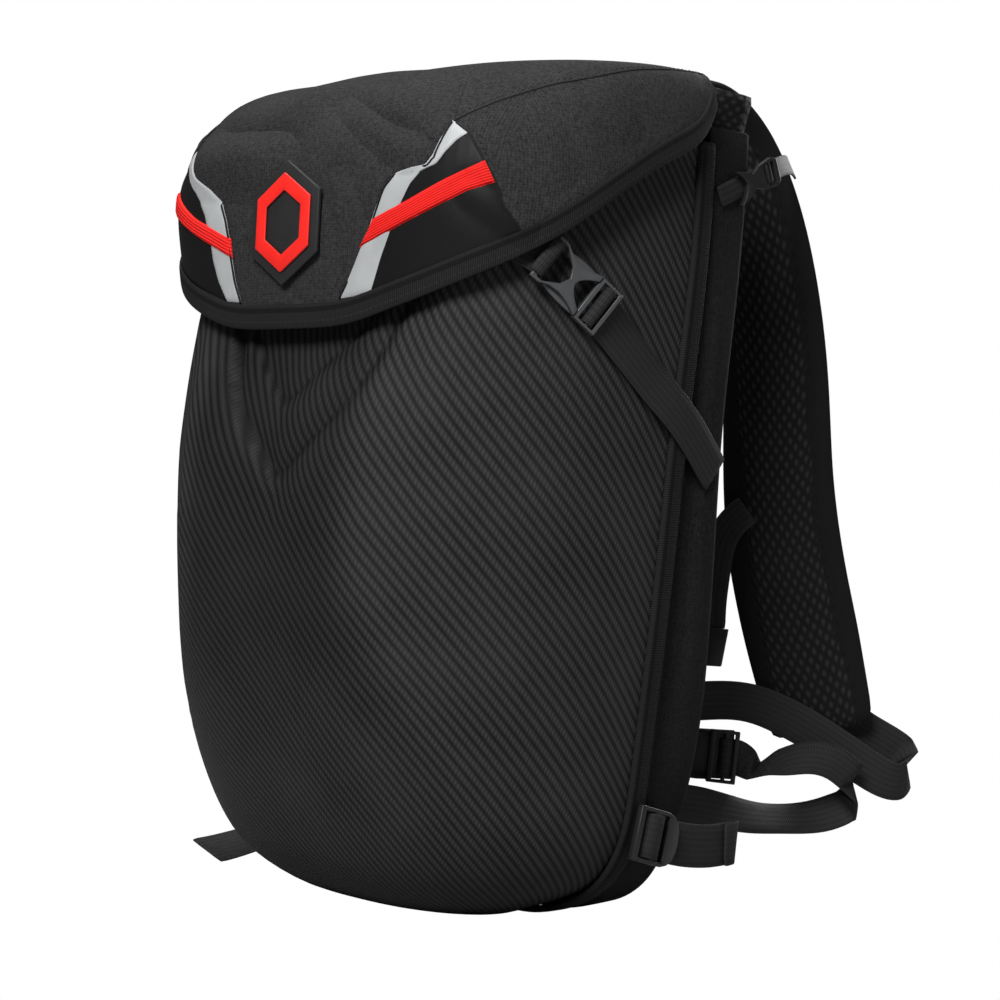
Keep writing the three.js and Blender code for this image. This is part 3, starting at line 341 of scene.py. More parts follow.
class Finishes:
    """Every finish of the bag, made once."""

    def __init__(self) -> None:
        """Builds the materials."""
        # Embossed carbon-look laminate: diagonal beaded ribs that catch the light on their crests, with
        # painted shade darkening it along its V creases and in the valley between its crests.
        self.carbon = Cloth(
            "embossed_carbon_laminate", "#0b0b0b", "#323232", pattern=Pattern.TWILL,
            pitch_mm=5.1, relief_mm=0.45, roughness=0.7, specular=0.05, shade_strength=0.8, calm=0.72,
        ).make()
        # Plain woven polyester: matt, its weave drawn coarser than life to show at all.
        self.cloth = Cloth(
            "plain_polyester", "#131313", "#2c2c2c", pattern=Pattern.PLAIN,
            pitch_mm=1.6, relief_mm=0.12, roughness=0.88, specular=0.05,
        ).make()
        # The same cloth in a darker dye, for the wall behind the shell.
        self.wall = Cloth(
            "dark_polyester", "#0b0b0b", "#1c1c1c", pattern=Pattern.PLAIN,
            pitch_mm=1.5, relief_mm=0.12, roughness=0.88, specular=0.04,
        ).make()
        # Polyester binding tape: fine cross ribs, a row sewn down and a row of stitches.
        self.tape = Cloth(
            "polyester_tape", "#0d0d0d", "#1d1d1d", pattern=Pattern.TAPE,
            pitch_mm=1.3, relief_mm=0.12, roughness=0.82, specular=0.06,
            stitch_rows_mm=(-3.2,), sunk_row_mm=(3.2, 1.4),
        ).make()
        # Polypropylene webbing: satin cross ribs, drawn coarser than life to show.
        self.webbing = Cloth(
            "polypropylene_webbing", "#151515", "#232323", pattern=Pattern.WEBBING,
            pitch_mm=1.6, relief_mm=0.12, roughness=0.74, specular=0.08,
        ).make()
        # Polyester spacer mesh: soft dimples, and a plain sewn border.
        self.mesh = Cloth(
            "spacer_mesh", "#0d0d0e", "#222223", pattern=Pattern.MESH,
            pitch_mm=5.4, relief_mm=0.7, roughness=0.82, specular=0.08, rim_from=0.8,
        ).make()
        # Coated nylon: almost smooth, with a soft wide gloss.
        self.coated = Cloth(
            "coated_nylon", "#0b0b0b", "#111111", pattern=Pattern.SMOOTH,
            pitch_mm=1.6, relief_mm=0.04, roughness=0.5, specular=0.07,
        ).make()
        # Knitted elastic: lengthwise ribs in bright red.
        self.elastic = Cloth(
            "knitted_elastic", "#980f0d", "#d8231f", pattern=Pattern.ELASTIC,
            pitch_mm=2.1, relief_mm=0.4, roughness=0.75, specular=0.08,
        ).make()
        # Glass-bead film on cloth: pale silver, even and slightly glossy.
        self.silver = Finish(
            "glass_bead_film", "#7f8182", "#8d8f90",
            pitch_mm=0.9, relief_mm=0.03, roughness=0.55, specular=0.25, metallic=0.1,
        ).make()
        # Moulded acetal: dark grey, satin, with a fine spark-eroded grain.
        self.acetal = Finish(
            "moulded_acetal", "#292a2b", "#343537",
            pitch_mm=0.7, relief_mm=0.05, roughness=0.42, specular=0.34,
        ).make()
        # The same acetal in black, for the small buckles.
        self.black_acetal = Finish(
            "black_acetal", "#111112", "#19191a",
            pitch_mm=0.7, relief_mm=0.05, roughness=0.45, specular=0.2,
        ).make()
        # Moulded soft rubber: matt black.
        self.rubber = Finish(
            "moulded_rubber", "#131314", "#1b1b1c",
            pitch_mm=0.8, relief_mm=0.05, roughness=0.62, specular=0.2,
        ).make()
        # Moulded soft rubber in red.
        self.red_rubber = Finish(
            "red_moulded_rubber", "#b0150f", "#c41d17",
            pitch_mm=0.8, relief_mm=0.04, roughness=0.55, specular=0.2,
        ).make()
        # Bonded polyester thread: black, sunk in its seam.
        self.thread = Finish(
            "bonded_thread", "#0b0b0c", "#141415",
            pitch_mm=0.6, relief_mm=0.05, roughness=0.7, specular=0.1,
        ).make()


def copy_of(node: str) -> BMesh:
    """Copies a CAD node's mesh, merged, with its triangles joined into quads.

    Args:
        node: Name of the CAD node.

    Returns:
        The new bmesh.
    """
    bm = bmesh.new()
    bm.from_mesh(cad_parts[node].data)
    bm.verts.layers.float.new(RIM)
    bmesh.ops.remove_doubles(bm, verts=bm.verts, dist=0.02 * MM)
    bmesh.ops.join_triangles(
        bm, faces=bm.faces, angle_face_threshold=math.radians(50), angle_shape_threshold=math.pi
    )
    return bm


def rounded(bm: BMesh, from_deg: float, crease: float) -> BMesh:
    """Smooths a mesh as a subdivision surface, with its sharp edges held.

    Args:
        bm: The coarse mesh, which is freed.
        from_deg: Edges that bend more than this are held.
        crease: How firmly they are held, from 0 to 1.

    Returns:
        The fine mesh.
    """
    held = bm.edges.layers.float.get("crease_edge") or bm.edges.layers.float.new("crease_edge")
    for edge in bm.edges:
        edge[held] = crease if edge.calc_face_angle(0.0) > math.radians(from_deg) else 0.0
    mesh = bpy.data.meshes.new("work")
    bm.to_mesh(mesh)
    bm.free()
    work = bpy.data.objects.new("work", mesh)
    bpy.context.scene.collection.objects.link(work)
    surface = work.modifiers.new("round", "SUBSURF")
    surface.levels = LEVELS
    surface.render_levels = LEVELS
    done = work.evaluated_get(bpy.context.evaluated_depsgraph_get())
    fine = bmesh.new()
    fine.from_mesh(done.to_mesh())
    done.to_mesh_clear()
    bpy.data.objects.remove(work)
    bpy.data.meshes.remove(mesh)
    return fine


def lay_by(bm: BMesh, place: Callable[[BMLoop], tuple[float, float]]) -> None:
    """Writes a cloth's run into the mesh, corner by corner.

    Args:
        bm: The mesh.
        place: Gives the run along and across, in metres, for a corner of a face.
    """
    layer = bm.loops.layers.uv.get(LAY) or bm.loops.layers.uv.new(LAY)
    for face in bm.faces:
        for loop in face.loops:
            loop[layer].uv = place(loop)


def bevel(bm: BMesh, offset_mm: float, segments: int, clamp: bool) -> None:
    """Joins a mould's flat faces and rounds its edges.

    Args:
        bm: The mesh.
        offset_mm: Width of the rounding.
        segments: Steps of the rounding.
        clamp: Whether the rounding is held back where the faces are narrow.
    """
    flat, sharp = math.radians(2), math.radians(40)
    bmesh.ops.dissolve_limit(bm, angle_limit=flat, verts=bm.verts, edges=bm.edges)
    bmesh.ops.bevel(
        bm,
        geom=[e for e in bm.edges if e.calc_face_angle(0.0) > sharp],
        offset=offset_mm * MM,
        affect="EDGES",
        segments=segments,
        profile=0.5,
        material=-1,
        clamp_overlap=clamp,
    )


def boxed(loop: BMLoop) -> tuple[float, float]:
    """Lays a cloth flat on the side that a face looks to.

    Args:
        loop: A corner of the face.

    Returns:
        The run along and across.
    """
    point = loop.vert.co
    x, y, z = (abs(part) for part in loop.face.normal)
    if z > x and z > y:
        return (point.x, point.y)
    return (point.y, point.z) if x > y else (point.x, point.z)


def lay_along(bm: BMesh, first: Sequence[BMVert]) -> None:
    """Walks the rings of a swept strap, tape or pad and lays its cloth along them.

    Args:
        bm: The mesh.
        first: The corners of one end.
    """
    rings: list[list[BMVert]] = []
    seen: set[BMVert] = set()
    ring = list(first)
    while ring:
        rings.append(ring)
        seen.update(ring)
        near = [e.other_vert(v) for v in ring for e in v.link_edges]
        ring = [v for v in dict.fromkeys(near) if v not in seen]
    middles = [sum((v.co for v in ring), Vector()) / len(ring) for ring in rings]
    rim = bm.verts.layers.float[RIM]
    run: dict[BMVert, tuple[float, float]] = {}
    axis: Vector | None = None
    along = 0.0
    for k, ring in enumerate(rings):
        along += (middles[k] - middles[max(0, k - 1)]).length
        members = set(ring)
        edges = [e for v in ring for e in v.link_edges if e.other_vert(v) in members]
        spans = [e.verts[1].co - e.verts[0].co for e in edges] or [Vector((1, 0, 0))]
        lead = axis or max(spans, key=lambda span: span.length)
        axis = sum((s * s.length * math.copysign(1, s.dot(lead)) for s in spans), Vector()).normalized()
        offs = [(v.co - middles[k]).dot(axis) for v in ring]
        widest = max(1e-6, *(abs(off) for off in offs))
        for v, off in zip(ring, offs):
            run[v] = (along, off)
            v[rim] = off / widest
    lay_by(bm, lambda loop: run.get(loop.vert, (0.0, 0.0)))


def corners_of_end(bm: BMesh) -> list[BMVert]:
    """Finds the corners of one end of a strap with four corners to each ring.

    Args:
        bm: The strap's mesh of quads.

    Returns:
        The four corners of the higher end.
    """
    loose = [v for v in bm.verts if len(v.link_edges) == 3]
    top = max(loose, key=lambda v: v.co.z)
    return sorted(loose, key=lambda v: (v.co - top.co).length)[:4]


def make_piece(
    bm: BMesh,
    name: str,
    material: Material,
    nodes: Sequence[str],
    sharp_deg: float = 40,
) -> Object:
    """Makes a finished piece of a mesh and puts it on the bag.

    Args:
        bm: The mesh, which is freed.
        name: Name of the piece.
        material: Its finish.
        nodes: CAD nodes that it stands for.
        sharp_deg: Edges that bend more than this are shaded sharp.

    Returns:
        The piece.
    """
    mesh = bpy.data.meshes.new(name)
    bm.to_mesh(mesh)
    bm.free()
    mesh.polygons.foreach_set("use_smooth", [True] * len(mesh.polygons))
    mesh.set_sharp_from_angle(angle=math.radians(sharp_deg))
    mesh.materials.append(material)
    piece = bpy.data.objects.new(name, mesh)
    bpy.context.scene.collection.objects.link(piece)
    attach(piece, "root")
    if nodes:
        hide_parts(*nodes)
    LOG.info("%s: %d faces", name, len(mesh.polygons))
    return piece


@dataclass(frozen=True)
class Fold:
    """A soft valley or crest of the cloth along a straight run, in millimetres."""

    start: tuple[float, float, float]
    end: tuple[float, float, float]
    width: float
    depth: float

    def mirrored(self) -> "Fold":
        """Gives the same fold on the other side of the bag."""
        ends = [(-x, y, z) for x, y, z in (self.start, self.end)]
        return Fold(ends[0], ends[1], self.width, self.depth)

    def sink(self, point: Vector) -> float:
        """Gives how far the fold moves a point inwards.

        Args:
            point: A point of the cloth, in metres.

        Returns:
            The depth in metres.
        """
        first = Vector(self.start) * MM
        span = Vector(self.end) * MM - first
        part = min(1.0, max(0.0, (point - first).dot(span) / max(span.length_squared, 1e-12)))
        off = (point - first - span * part).length / (self.width * MM)
        return self.depth * MM * math.exp(-off * off)


def fold_cloth(bm: BMesh, folds: Sequence[Fold]) -> None:
    """Presses folds into a mesh along its normals.

    Args:
        bm: The mesh.
        folds: The folds.
    """
    bm.normal_update()
    moves = [(v, v.normal * -sum(fold.sink(v.co) for fold in folds)) for v in bm.verts]
    for v, move in moves:
        v.co += move


def eased(t: float) -> float:
    """Gives a smooth step from 0 to 1."""
    k = min(1.0, max(0.0, t))
    return k * k * (3 - 2 * k)


@dataclass(frozen=True)
class Crease:
    """A V crease of the moulded shell, with painted shade along it and over its floor, in millimetres; pairs
    are for its right and its left arm.
    """

    apex: tuple[float, float]  # place across and height of its lowest point
    depth: float
    lips: tuple[float, float]  # how far the cloth takes to fall to the crease from outside
    floors: tuple[float, float]  # how far it takes to rise again inside
    shades: tuple[float, float]  # width of the band of painted shade, outside the right arm and inside the left
    rise: float = 0.92
    bend: float = 0.05
    bend_from: float = 44.0
    tip_round: float = 5.0
    turn_over: float = 24.0  # how wide the change from arm to arm is
    lap: float = 2.0  # how far a band of painted shade laps over its crease
    floor_mark: float = 0.3  # how much painted shade lies over the whole floor
    floor_rise: float = 6.0
    floor_fade: float = 120.0

    def press_and_shade(self, point: Vector) -> tuple[float, float]:
        """Finds the crease's part in a point.

        Args:
            point: A point of the shell, in metres.

        Returns:
            How far in the point moves, in metres, and how much painted shade it takes, from 0 to 1.
        """
        across = point.x / MM - self.apex[0]
        wide = abs(across)
        climb = self.rise * (math.hypot(wide, self.tip_round) - self.tip_round)
        line = self.apex[1] + climb + self.bend * max(0.0, wide - self.bend_from) ** 2
        over = point.z / MM - line
        right = eased(across / self.turn_over + 0.5)
        falls = []
        for lip, floor in zip(self.lips, self.floors):
            falls.append(max(0.0, 1 + over / lip if over < 0 else 1 - over / floor) ** 2)
        # Painted shade in bands beside each arm's crease, and fainter over the whole floor.
        bands = zip((-over, over), self.shades)
        marks = [max(0.0, 1 - off / shade) ** 2 * (off > -self.lap) for off, shade in bands]
        deep = falls[0] * right + falls[1] * (1 - right)
        floor_mark = self.floor_mark * eased(over / self.floor_rise) * max(0.0, 1 - over / self.floor_fade)
        mark = marks[0] * right + marks[1] * (1 - right) + floor_mark
        return (self.depth * deep * MM, min(1.0, mark))


@dataclass(frozen=True)
class Ridge:
    """A creased crest of the shell along a route, in millimetres."""

    route: Route
    width: float
    height: float

    def lift(self, point: Vector) -> float:
        """Gives how far the crest lifts a point.

        Args:
            point: A point of the shell, in metres.

        Returns:
            The height in metres.
        """
        at = Vector((abs(point.x), point.y, point.z)) / MM
        stops = [Vector(stop) for stop in self.route]
        near = min(self.gap(at, a, b) for a, b in zip(stops, stops[1:]))
        return self.height * MM * math.exp(-near / self.width)

    @staticmethod
    def gap(at: Vector, a: Vector, b: Vector) -> float:
        """Gives the distance from a point to a straight run between two others."""
        part = min(1.0, max(0.0, (at - a).dot(b - a) / (b - a).length_squared))
        return (at - a.lerp(b, part)).length


@dataclass
class Body:
    """The moulded shell, its rim tape, the cloth wall behind it and the padded back."""

    finishes: Finishes
    lay_centre_y_mm: float = 60.0
    lay_radius_mm: float = 170.0
    lay_fall: float = 0.6
    creases: tuple[Crease, ...] = (
        Crease((10, 246), 7.0, (34, 7), (34, 44), (30, 17)),
        Crease((4, 287), 3.6, (15, 5), (22, 26), (12, 10)),
    )
    even_box_mm: tuple[float, float, float] = (100.0, -48.0, 222.0)
    even_rounds: int = 90
    # Painted shade over the valley between the two crests
    valley_shade: float = 0.62
    valley_fade_mm: float = 26.0
    valley_foot_mm: tuple[float, float] = (60.0, 180.0)
    ridge: Ridge = Ridge(
        (
            (84, -82, 333), (80, -92, 306), (79, -100, 266), (77.6, -102, 234), (76.7, -102, 211),
            (77.7, -99, 186), (84.2, -92, 160), (93.8, -81, 134), (107.3, -61.5, 97.4),
            (117.2, -38.4, 59.7),
        ),
        17,
        3.2,
    )
    wall_folds: tuple[Fold, ...] = (
        Fold((150, 62, 66), (152, 84, 46), 5, 3.0),
        Fold((152, 72, 92), (150, 90, 70), 6, 2.2),
        Fold((156, 76, 140), (154, 70, 300), 7, 1.8),
    )

    def shell_lay(self, loop: BMLoop) -> tuple[float, float]:
        """Wraps the laminate round the shell, and under it at the base.

        Args:
            loop: A corner of a face of the shell.

        Returns:
            The run round and up the shell.
        """
        point = loop.vert.co
        ahead = self.lay_centre_y_mm * MM - point.y
        out = math.hypot(point.x, ahead)
        return (math.atan2(point.x, ahead) * self.lay_radius_mm * MM, point.z + self.lay_fall * out)

    def between_crests(self, point: Vector) -> float:
        """Finds how much painted shade darkens the laminate in the valley between the two crests.

        Args:
            point: A point of the shell, in metres.

        Returns:
            How much painted shade it takes, from 0 to 1.
        """
        wide, high = abs(point.x) / MM, point.z / MM
        crest = self.ridge.route[0][0] if high > self.ridge.route[0][2] else self.ridge.route[-1][0]
        for (x0, _, z0), (x1, _, z1) in zip(self.ridge.route, self.ridge.route[1:]):
            if z1 <= high <= z0:
                crest = x0 + (x1 - x0) * (z0 - high) / (z0 - z1)
        foot, full = self.valley_foot_mm
        rise = eased((high - foot) / (full - foot))
        return self.valley_shade * rise * eased((crest - wide) / self.valley_fade_mm)

    def press_creases(self, shell: BMesh) -> None:
        """Evens the solid's coarse recess out, presses the creases and the ridges in, and paints shade along
        the creases and in the valley between the crests.

        Args:
            shell: The shell's fine mesh.
        """
        half, back, low = (part * MM for part in self.even_box_mm)
        region = [v for v in shell.verts if abs(v.co.x) < half and v.co.y < back and v.co.z > low]
        ways = {"use_axis_x": False, "use_axis_y": True, "use_axis_z": False}
        for _ in range(self.even_rounds):
            bmesh.ops.smooth_vert(shell, verts=region, factor=0.5, **ways)
        lay_by(shell, self.shell_lay)
        # The painted-shade attribute: bands along the creases, their floors, and the valley between the
        # crests.
        marked = shell.verts.layers.float.new(PAINTED_SHADE)
        for v in shell.verts:
            moves = [crease.press_and_shade(v.co) for crease in self.creases]
            out = Vector((v.co.x, v.co.y - self.lay_centre_y_mm * MM, 0)).normalized()
            v[marked] = max(self.between_crests(v.co), *(mark for _, mark in moves))
            v.co += out * (self.ridge.lift(v.co) - sum(inwards for inwards, _ in moves))

    def build(self) -> None:
        """Builds the shell, the tape, the wall and the back."""
        shell = rounded(copy_of("front_shell"), from_deg=60, crease=0.9)
        self.press_creases(shell)
        make_piece(shell, "carbon_shell", self.finishes.carbon, ["front_shell"], 60)
        tape = copy_of("shell_binding")
        end = sorted((v for v in tape.verts if v.co.x > 0), key=lambda v: -v.co.z)[:RING]
        lay_along(tape, end)
        tape = rounded(tape, from_deg=50, crease=0.4)
        make_piece(tape, "rim_tape", self.finishes.tape, ["shell_binding"])
        wall = rounded(copy_of("side_wall"), from_deg=60, crease=0.9)
        lay_by(wall, boxed)
        fold_cloth(wall, [*self.wall_folds, *(fold.mirrored() for fold in self.wall_folds)])
        make_piece(wall, "wall_cloth", self.finishes.wall, ["side_wall"], 60)
        back = rounded(copy_of("back_panel"), from_deg=50, crease=0.5)
        lay_by(back, boxed)
        padding = make_piece(back, "back_padding", self.finishes.mesh, ["back_panel"], 50)


def along_route(points: Sequence[Vector], share: float) -> Vector:
    """Finds a place on a route.

    Args:
        points: The route's points.
        share: How far along it, from 0 to 1.

    Returns:
        The place.
    """
    lengths = [(b - a).length for a, b in zip(points, points[1:])]
    left = share * sum(lengths)
    for a, b, length in zip(points, points[1:], lengths):
        if left <= length:
            return a.lerp(b, left / length)
        left -= length
    return points[-1].copy()


@dataclass
class Lid:
    """The cloth lid with its hem, sewn panels, bands, seams and badge. Routes are in millimetres."""

    finishes: Finishes
    axis_y_mm: float = 30.0
    seam_radius_mm: float = 0.6
    stitch_mm: tuple[float, float, float] = (2.4, 0.6, 0.4)
    stitch_step_mm: float = 3.6
    stitch_seat: float = 0.4  # how high a stitch sits, to half its height
    badge_bevel_mm: float = 0.7
    back_reach_mm: tuple[float, float, float] = (68.0, 12.0, 4.0)  # from where, how soon and how far
    cast_from_m: float = 0.5
    panel_rims: tuple[float, float, float] = (0.25, 0.85, 1.0)  # heights from a panel's border in
    panel_seat_mm: float = 0.6  # how deep a panel's underside lies in the lid
    folds: tuple[Fold, ...] = (
        Fold((-90, -93, 431), (-24, -96, 424), 19, 7.5),
        Fold((-70, -88, 456), (-10, -88, 454), 18, -3.4),
        Fold((22, -82, 456), (90, -92, 420), 10, 5.2),
        Fold((-6, -78, 466), (72, -86, 446), 16, -3.2),
        Fold((38, -97, 404), (58, -98, 372), 13, 2.2),
        Fold((10, -97, 352), (40, -97, 356), 14, 1.6),
        Fold((150, -56, 448), (157, -46, 414), 16, 2.4),
        Fold((160, -14, 466), (164, -4, 446), 18, 2.2),
        Fold((126, -82, 398), (146, -60, 380), 10, 2.6),
        Fold((0, -20, 486), (30, 30, 492), 45, 4.0),
        Fold((-120, -70, 440), (-140, -30, 455), 17, 2.6),
        Fold((-157, -40, 430), (-160, -20, 406), 14, 2.6),
    )
    top_seam: Route = (
        (111, -80, 437), (123, -69, 446), (134.7, -52, 455), (145.7, -26, 464.5), (151.4, 3, 473.4),
        (154, 30, 480), (153, 55, 485), (149, 78, 488),
    )
    side_seam: Route = (
        (145.8, -58, 374), (144.6, -60, 381), (142.9, -69, 390.7), (136.2, -73, 406.7),
        (130, -77, 418.6), (122.2, -79, 430), (111, -80, 437),
    )
    front_seam: Route = (
        (44, -95, 343), (54.4, -97, 359), (63.6, -99, 372.9), (70.7, -99, 387.6), (76.6, -97, 401.4),
        (83.1, -94, 409.4), (93.2, -92, 411.7), (103.2, -92, 413), (106.9, -90, 418.4),
        (108.9, -87, 426.5), (111, -80, 437),
    )
    silver_edge: Route = (
        (66.9, -93, 345), (75.2, -95, 364.3), (81.4, -95, 377.4), (89.9, -97, 392.1),
        (94.7, -94, 403.3), (101.1, -93, 409.5), (109.9, -90, 412.9), (113.9, -87, 419.8),
        (118.8, -84, 425.8), (122.2, -79, 430),
    )
    crown_seam: Route = (
        (111, -80, 437), (108, -73, 449), (102.7, -64, 461), (98, -57, 469),
    )
    left_front_seam: Route = (
        (41, -95, 343), (47, -96, 355), (51, -97, 368), (54, -97, 380), (58, -97, 391), (65, -96, 402),
        (77, -95, 410), (93, -91, 418), (104, -86, 428), (111, -80, 437),
    )
    left_silver_edge: Route = (
        (56, -95, 344), (66, -96, 356), (72, -96, 368), (76, -97, 381), (83, -96, 395), (96, -92, 409),
        (112, -87, 420), (122, -79, 430),
    )
    left_red_top: Route = (
        (52.5, -97, 380), (73, -98, 387), (94, -95, 394), (114, -90, 403), (135.4, -78, 415),
    )
    left_red_low: Route = (
        (50.5, -97, 368.5), (70, -98, 375.5), (90, -96, 382.5), (112, -90, 391), (138.5, -73, 403.6),
    )
    red_top: Route = (
        (70.8, -99, 385.4), (94.4, -96, 394), (116.4, -90, 404.6), (135.4, -78, 415),
    )
    red_low: Route = (
        (61, -99, 370), (80.1, -96, 377.4), (106.4, -91, 388.3), (128.1, -83, 398.8),
        (138.5, -73, 403.6),
    )

    def cast(self, surface: BVHTree, point: Vector) -> tuple[Vector, Vector]:
        """Finds the lid's outer face in front of a point, from outside.

        Args:
            surface: The lid's surface.
            point: A point near the face.

        Returns:
            The place on the face and its outward normal.
        """
        axis = Vector((0, self.axis_y_mm * MM, point.z))
        way = (point - axis).normalized()
        at, normal, _, _ = surface.ray_cast(axis + way * self.cast_from_m, -way)
        if at is None:
            at, normal, _, _ = surface.find_nearest(point)
        return (at, normal if normal.dot(way) > 0 else -normal)

    def lay_panel(
        self,
        surface: BVHTree,
        edges: tuple[Route, Route],
        flip: bool,
        lift_mm: float,
        cells: tuple[int, int],
    ) -> BMesh:
        """Cuts a panel between two edges and lays it on the lid, its border turned down.

        Args:
            surface: The lid's surface.
            edges: Routes of its two long edges, both from the same end.
            flip: Whether it is the left one.
            lift_mm: How far its middle stands off the lid.
            cells: Its cells along and across.

        Returns:
            The panel's mesh.
        """
        sides = [[Vector((-x if flip else x, y, z)) * MM for x, y, z in edge] for edge in edges]
        length = sum((b - a).length for a, b in zip(sides[0], sides[0][1:]))
        bm = bmesh.new()
        bmesh.ops.create_grid(bm, x_segments=cells[1], y_segments=cells[0], size=0.5)
        width = (sides[1][0] - sides[0][0]).length
        lay_by(bm, lambda loop: ((loop.vert.co.y + 0.5) * length, loop.vert.co.x * width))
        for v in bm.verts:
            along, across = v.co.y + 0.5, v.co.x + 0.5
            first, second = (along_route(side, along) for side in sides)
            at, normal = self.cast(surface, first.lerp(second, across))
            to_edge = min(min(along, 1 - along) * cells[0], min(across, 1 - across) * cells[1])
            v.co = at + normal * (lift_mm * MM * self.panel_rims[min(2, round(to_edge))])
        bm.normal_update()
        below = bmesh.ops.extrude_face_region(bm, geom=bm.faces[:])["geom"]
        for v in below:
            if isinstance(v, BMVert):
                v.co = v.co - self.cast(surface, v.co)[1] * (lift_mm + self.panel_seat_mm) * MM
        bmesh.ops.recalc_face_normals(bm, faces=bm.faces)
        return bm

    def panels(self, surface: BVHTree) -> None:
        """Sews the silver bands, the smooth inserts and the red bands on.

        Args:
            surface: The lid's surface.
        """
        outer = self.side_seam[:-1]
        for side in SIDES:
            flip = side == "left"
            seam = self.left_front_seam if flip else self.front_seam
            edge = self.left_silver_edge if flip else self.silver_edge
            reds = (self.left_red_top, self.left_red_low) if flip else (self.red_top, self.red_low)
            coated, silver, elastic = self.finishes.coated, self.finishes.silver, self.finishes.elastic
            # Piece, its two edges, lift in millimetres, cells, finish, slot and the node that it stands for.
            for name, edges, lift, cells, finish, slot, node in (
                ("smooth_insert", (edge, outer), 0.5, (44, 30), coated, "coated_cloth", "lid_insert"),
                ("silver_band", (seam, edge), 0.9, (60, 12), silver, "reflective_film", "reflective_band"),
                ("red_band", reds, 2.2, (48, 10), elastic, "red_elastic", "elastic_band"),
            ):
                panel = self.lay_panel(surface, edges, flip, lift, cells)
                make_piece(panel, f"{name}_{side}", finish, [f"{node}_{side}"])

    def route(self, tree: BVHTree, points: Route, flip: bool) -> list[tuple[Vector, Vector]]:
        """Lays a seam on the lid.

        Args:
            tree: The lid's surface.
            points: Route of the seam in millimetres.
            flip: Whether it is the left one.

        Returns:
            Places a millimetre apart, each with the cloth's normal.
        """
        stops = [Vector((-x if flip else x, y, z)) * MM for x, y, z in points]
        steps = round(sum((b - a).length for a, b in zip(stops, stops[1:])) / MM)
        return [tree.find_nearest(along_route(stops, k / steps))[:2] for k in range(steps + 1)]

    def sew(self, tree: BVHTree) -> None:
        """Sews the seams: a sunk cord of cloth and a row of stitches beside it.

        Args:
            tree: The lid's surface.
        """
        cords = bmesh.new()
        stitches = bmesh.new()
        radius = self.seam_radius_mm * MM
        for flip in (False, True):
            # Route, how far aside its stitches lie and how far its cord is lifted, in millimetres.
            for points, aside, lift in (
                (self.top_seam, 2.6, 0.0),
                (self.side_seam, -2.6, 0.0),
                (self.left_front_seam if flip else self.front_seam, 2.4, 0.9),
                (self.crown_seam, 2.4, -0.35),
            ):
                places = self.route(tree, points, flip)
                ring: list[BMEdge] = []
                walked = 0.0
                for k, (at, normal) in enumerate(places[:-1]):
                    ahead = places[k + 1][0] - at
                    if ahead.length < 1e-6:
                        continue
                    way = ahead.normalized()
                    over = normal.cross(way).normalized()
                    turn = Matrix((way, over, normal)).transposed().to_4x4()
                    # The cord has a ring at every second place.
                    if k % 2 == 0:
                        lifted = Matrix.Translation(at + normal * lift * MM)
                        spun = lifted @ turn @ Matrix.Rotation(math.pi / 2, 4, "Y")
                        made = bmesh.ops.create_circle(cords, segments=6, radius=radius, matrix=spun)
                        edges = list({e for v in made["verts"] for e in v.link_edges})
                        if ring:
                            bmesh.ops.bridge_loops(cords, edges=ring + edges)
                        ring = edges
                    walked += ahead.length
                    if walked >= self.stitch_step_mm * MM:
                        walked = 0.0
                        length, wide, high = (size * MM / 2 for size in self.stitch_mm)
                        beside = over * (aside * MM * (-1 if flip else 1))
                        spot = at + beside + normal * high * self.stitch_seat
                        shape = Matrix.Translation(spot) @ turn @ Matrix.Diagonal((length, wide, high, 1))
                        bmesh.ops.create_icosphere(stitches, subdivisions=1, radius=1, matrix=shape)
        bmesh.ops.recalc_face_normals(cords, faces=cords.faces)
        make_piece(cords, "lid_seams", self.finishes.thread, [])
        make_piece(stitches, "lid_stitches", self.finishes.thread, [])

    def badge(self) -> None:
        """Builds the rubber patch and its plain raised ring."""
        for node, name, material, slot in (
            ("badge_base", "badge_patch", self.finishes.rubber, "badge_rubber"),
            ("badge_ring", "badge_hexagon", self.finishes.red_rubber, "red_rubber"),
        ):
            bm = copy_of(node)
            bevel(bm, self.badge_bevel_mm, segments=3, clamp=False)
            make_piece(bm, name, material, [node], 50)

    def build(self) -> None:
        """Builds the lid and all that is sewn on it."""
        cap = rounded(copy_of("lid_cap"), from_deg=60, crease=0.9)
        start, run, reach = self.back_reach_mm
        for v in cap.verts:
            v.co.y += reach * MM * eased((v.co.y / MM - start) / run)
        lay_by(cap, boxed)
        fold_cloth(cap, self.folds)
        surface = BVHTree.FromBMesh(cap)
        make_piece(cap, "lid_cloth", self.finishes.cloth, ["lid_cap"], 60)
        hem = copy_of("lid_hem")
        end = sorted((v for v in hem.verts if v.co.x > 0), key=lambda v: -v.co.y)[:RING]
        lay_along(hem, end)
        hem = rounded(hem, from_deg=50, crease=0.4)
        fold_cloth(hem, self.folds)
        make_piece(hem, "hem_tape", self.finishes.tape, ["lid_hem"])
        self.panels(surface)
        self.sew(surface)
        self.badge()


@dataclass
class Straps:
    """Webbing of the lid, waist, shoulders and chest."""

    finishes: Finishes
    names: tuple[str, ...] = (
        "lid_strap", "compression_strap", "lower_webbing", "waist_belt",
        "webbing_tail", "lifter_strap", "lifter_webbing", "sternum_strap",
    )

    def build(self) -> None:
        """Builds every strap with its weave along its run."""
        for name in self.names:
            for side in SIDES:
                node = f"{name}_{side}"
                bm = copy_of(node)
                lay_along(bm, corners_of_end(bm))
                bm = rounded(bm, from_deg=50, crease=0.75)
                make_piece(bm, f"{node}_weave", self.finishes.webbing, [node], sharp_deg=50)


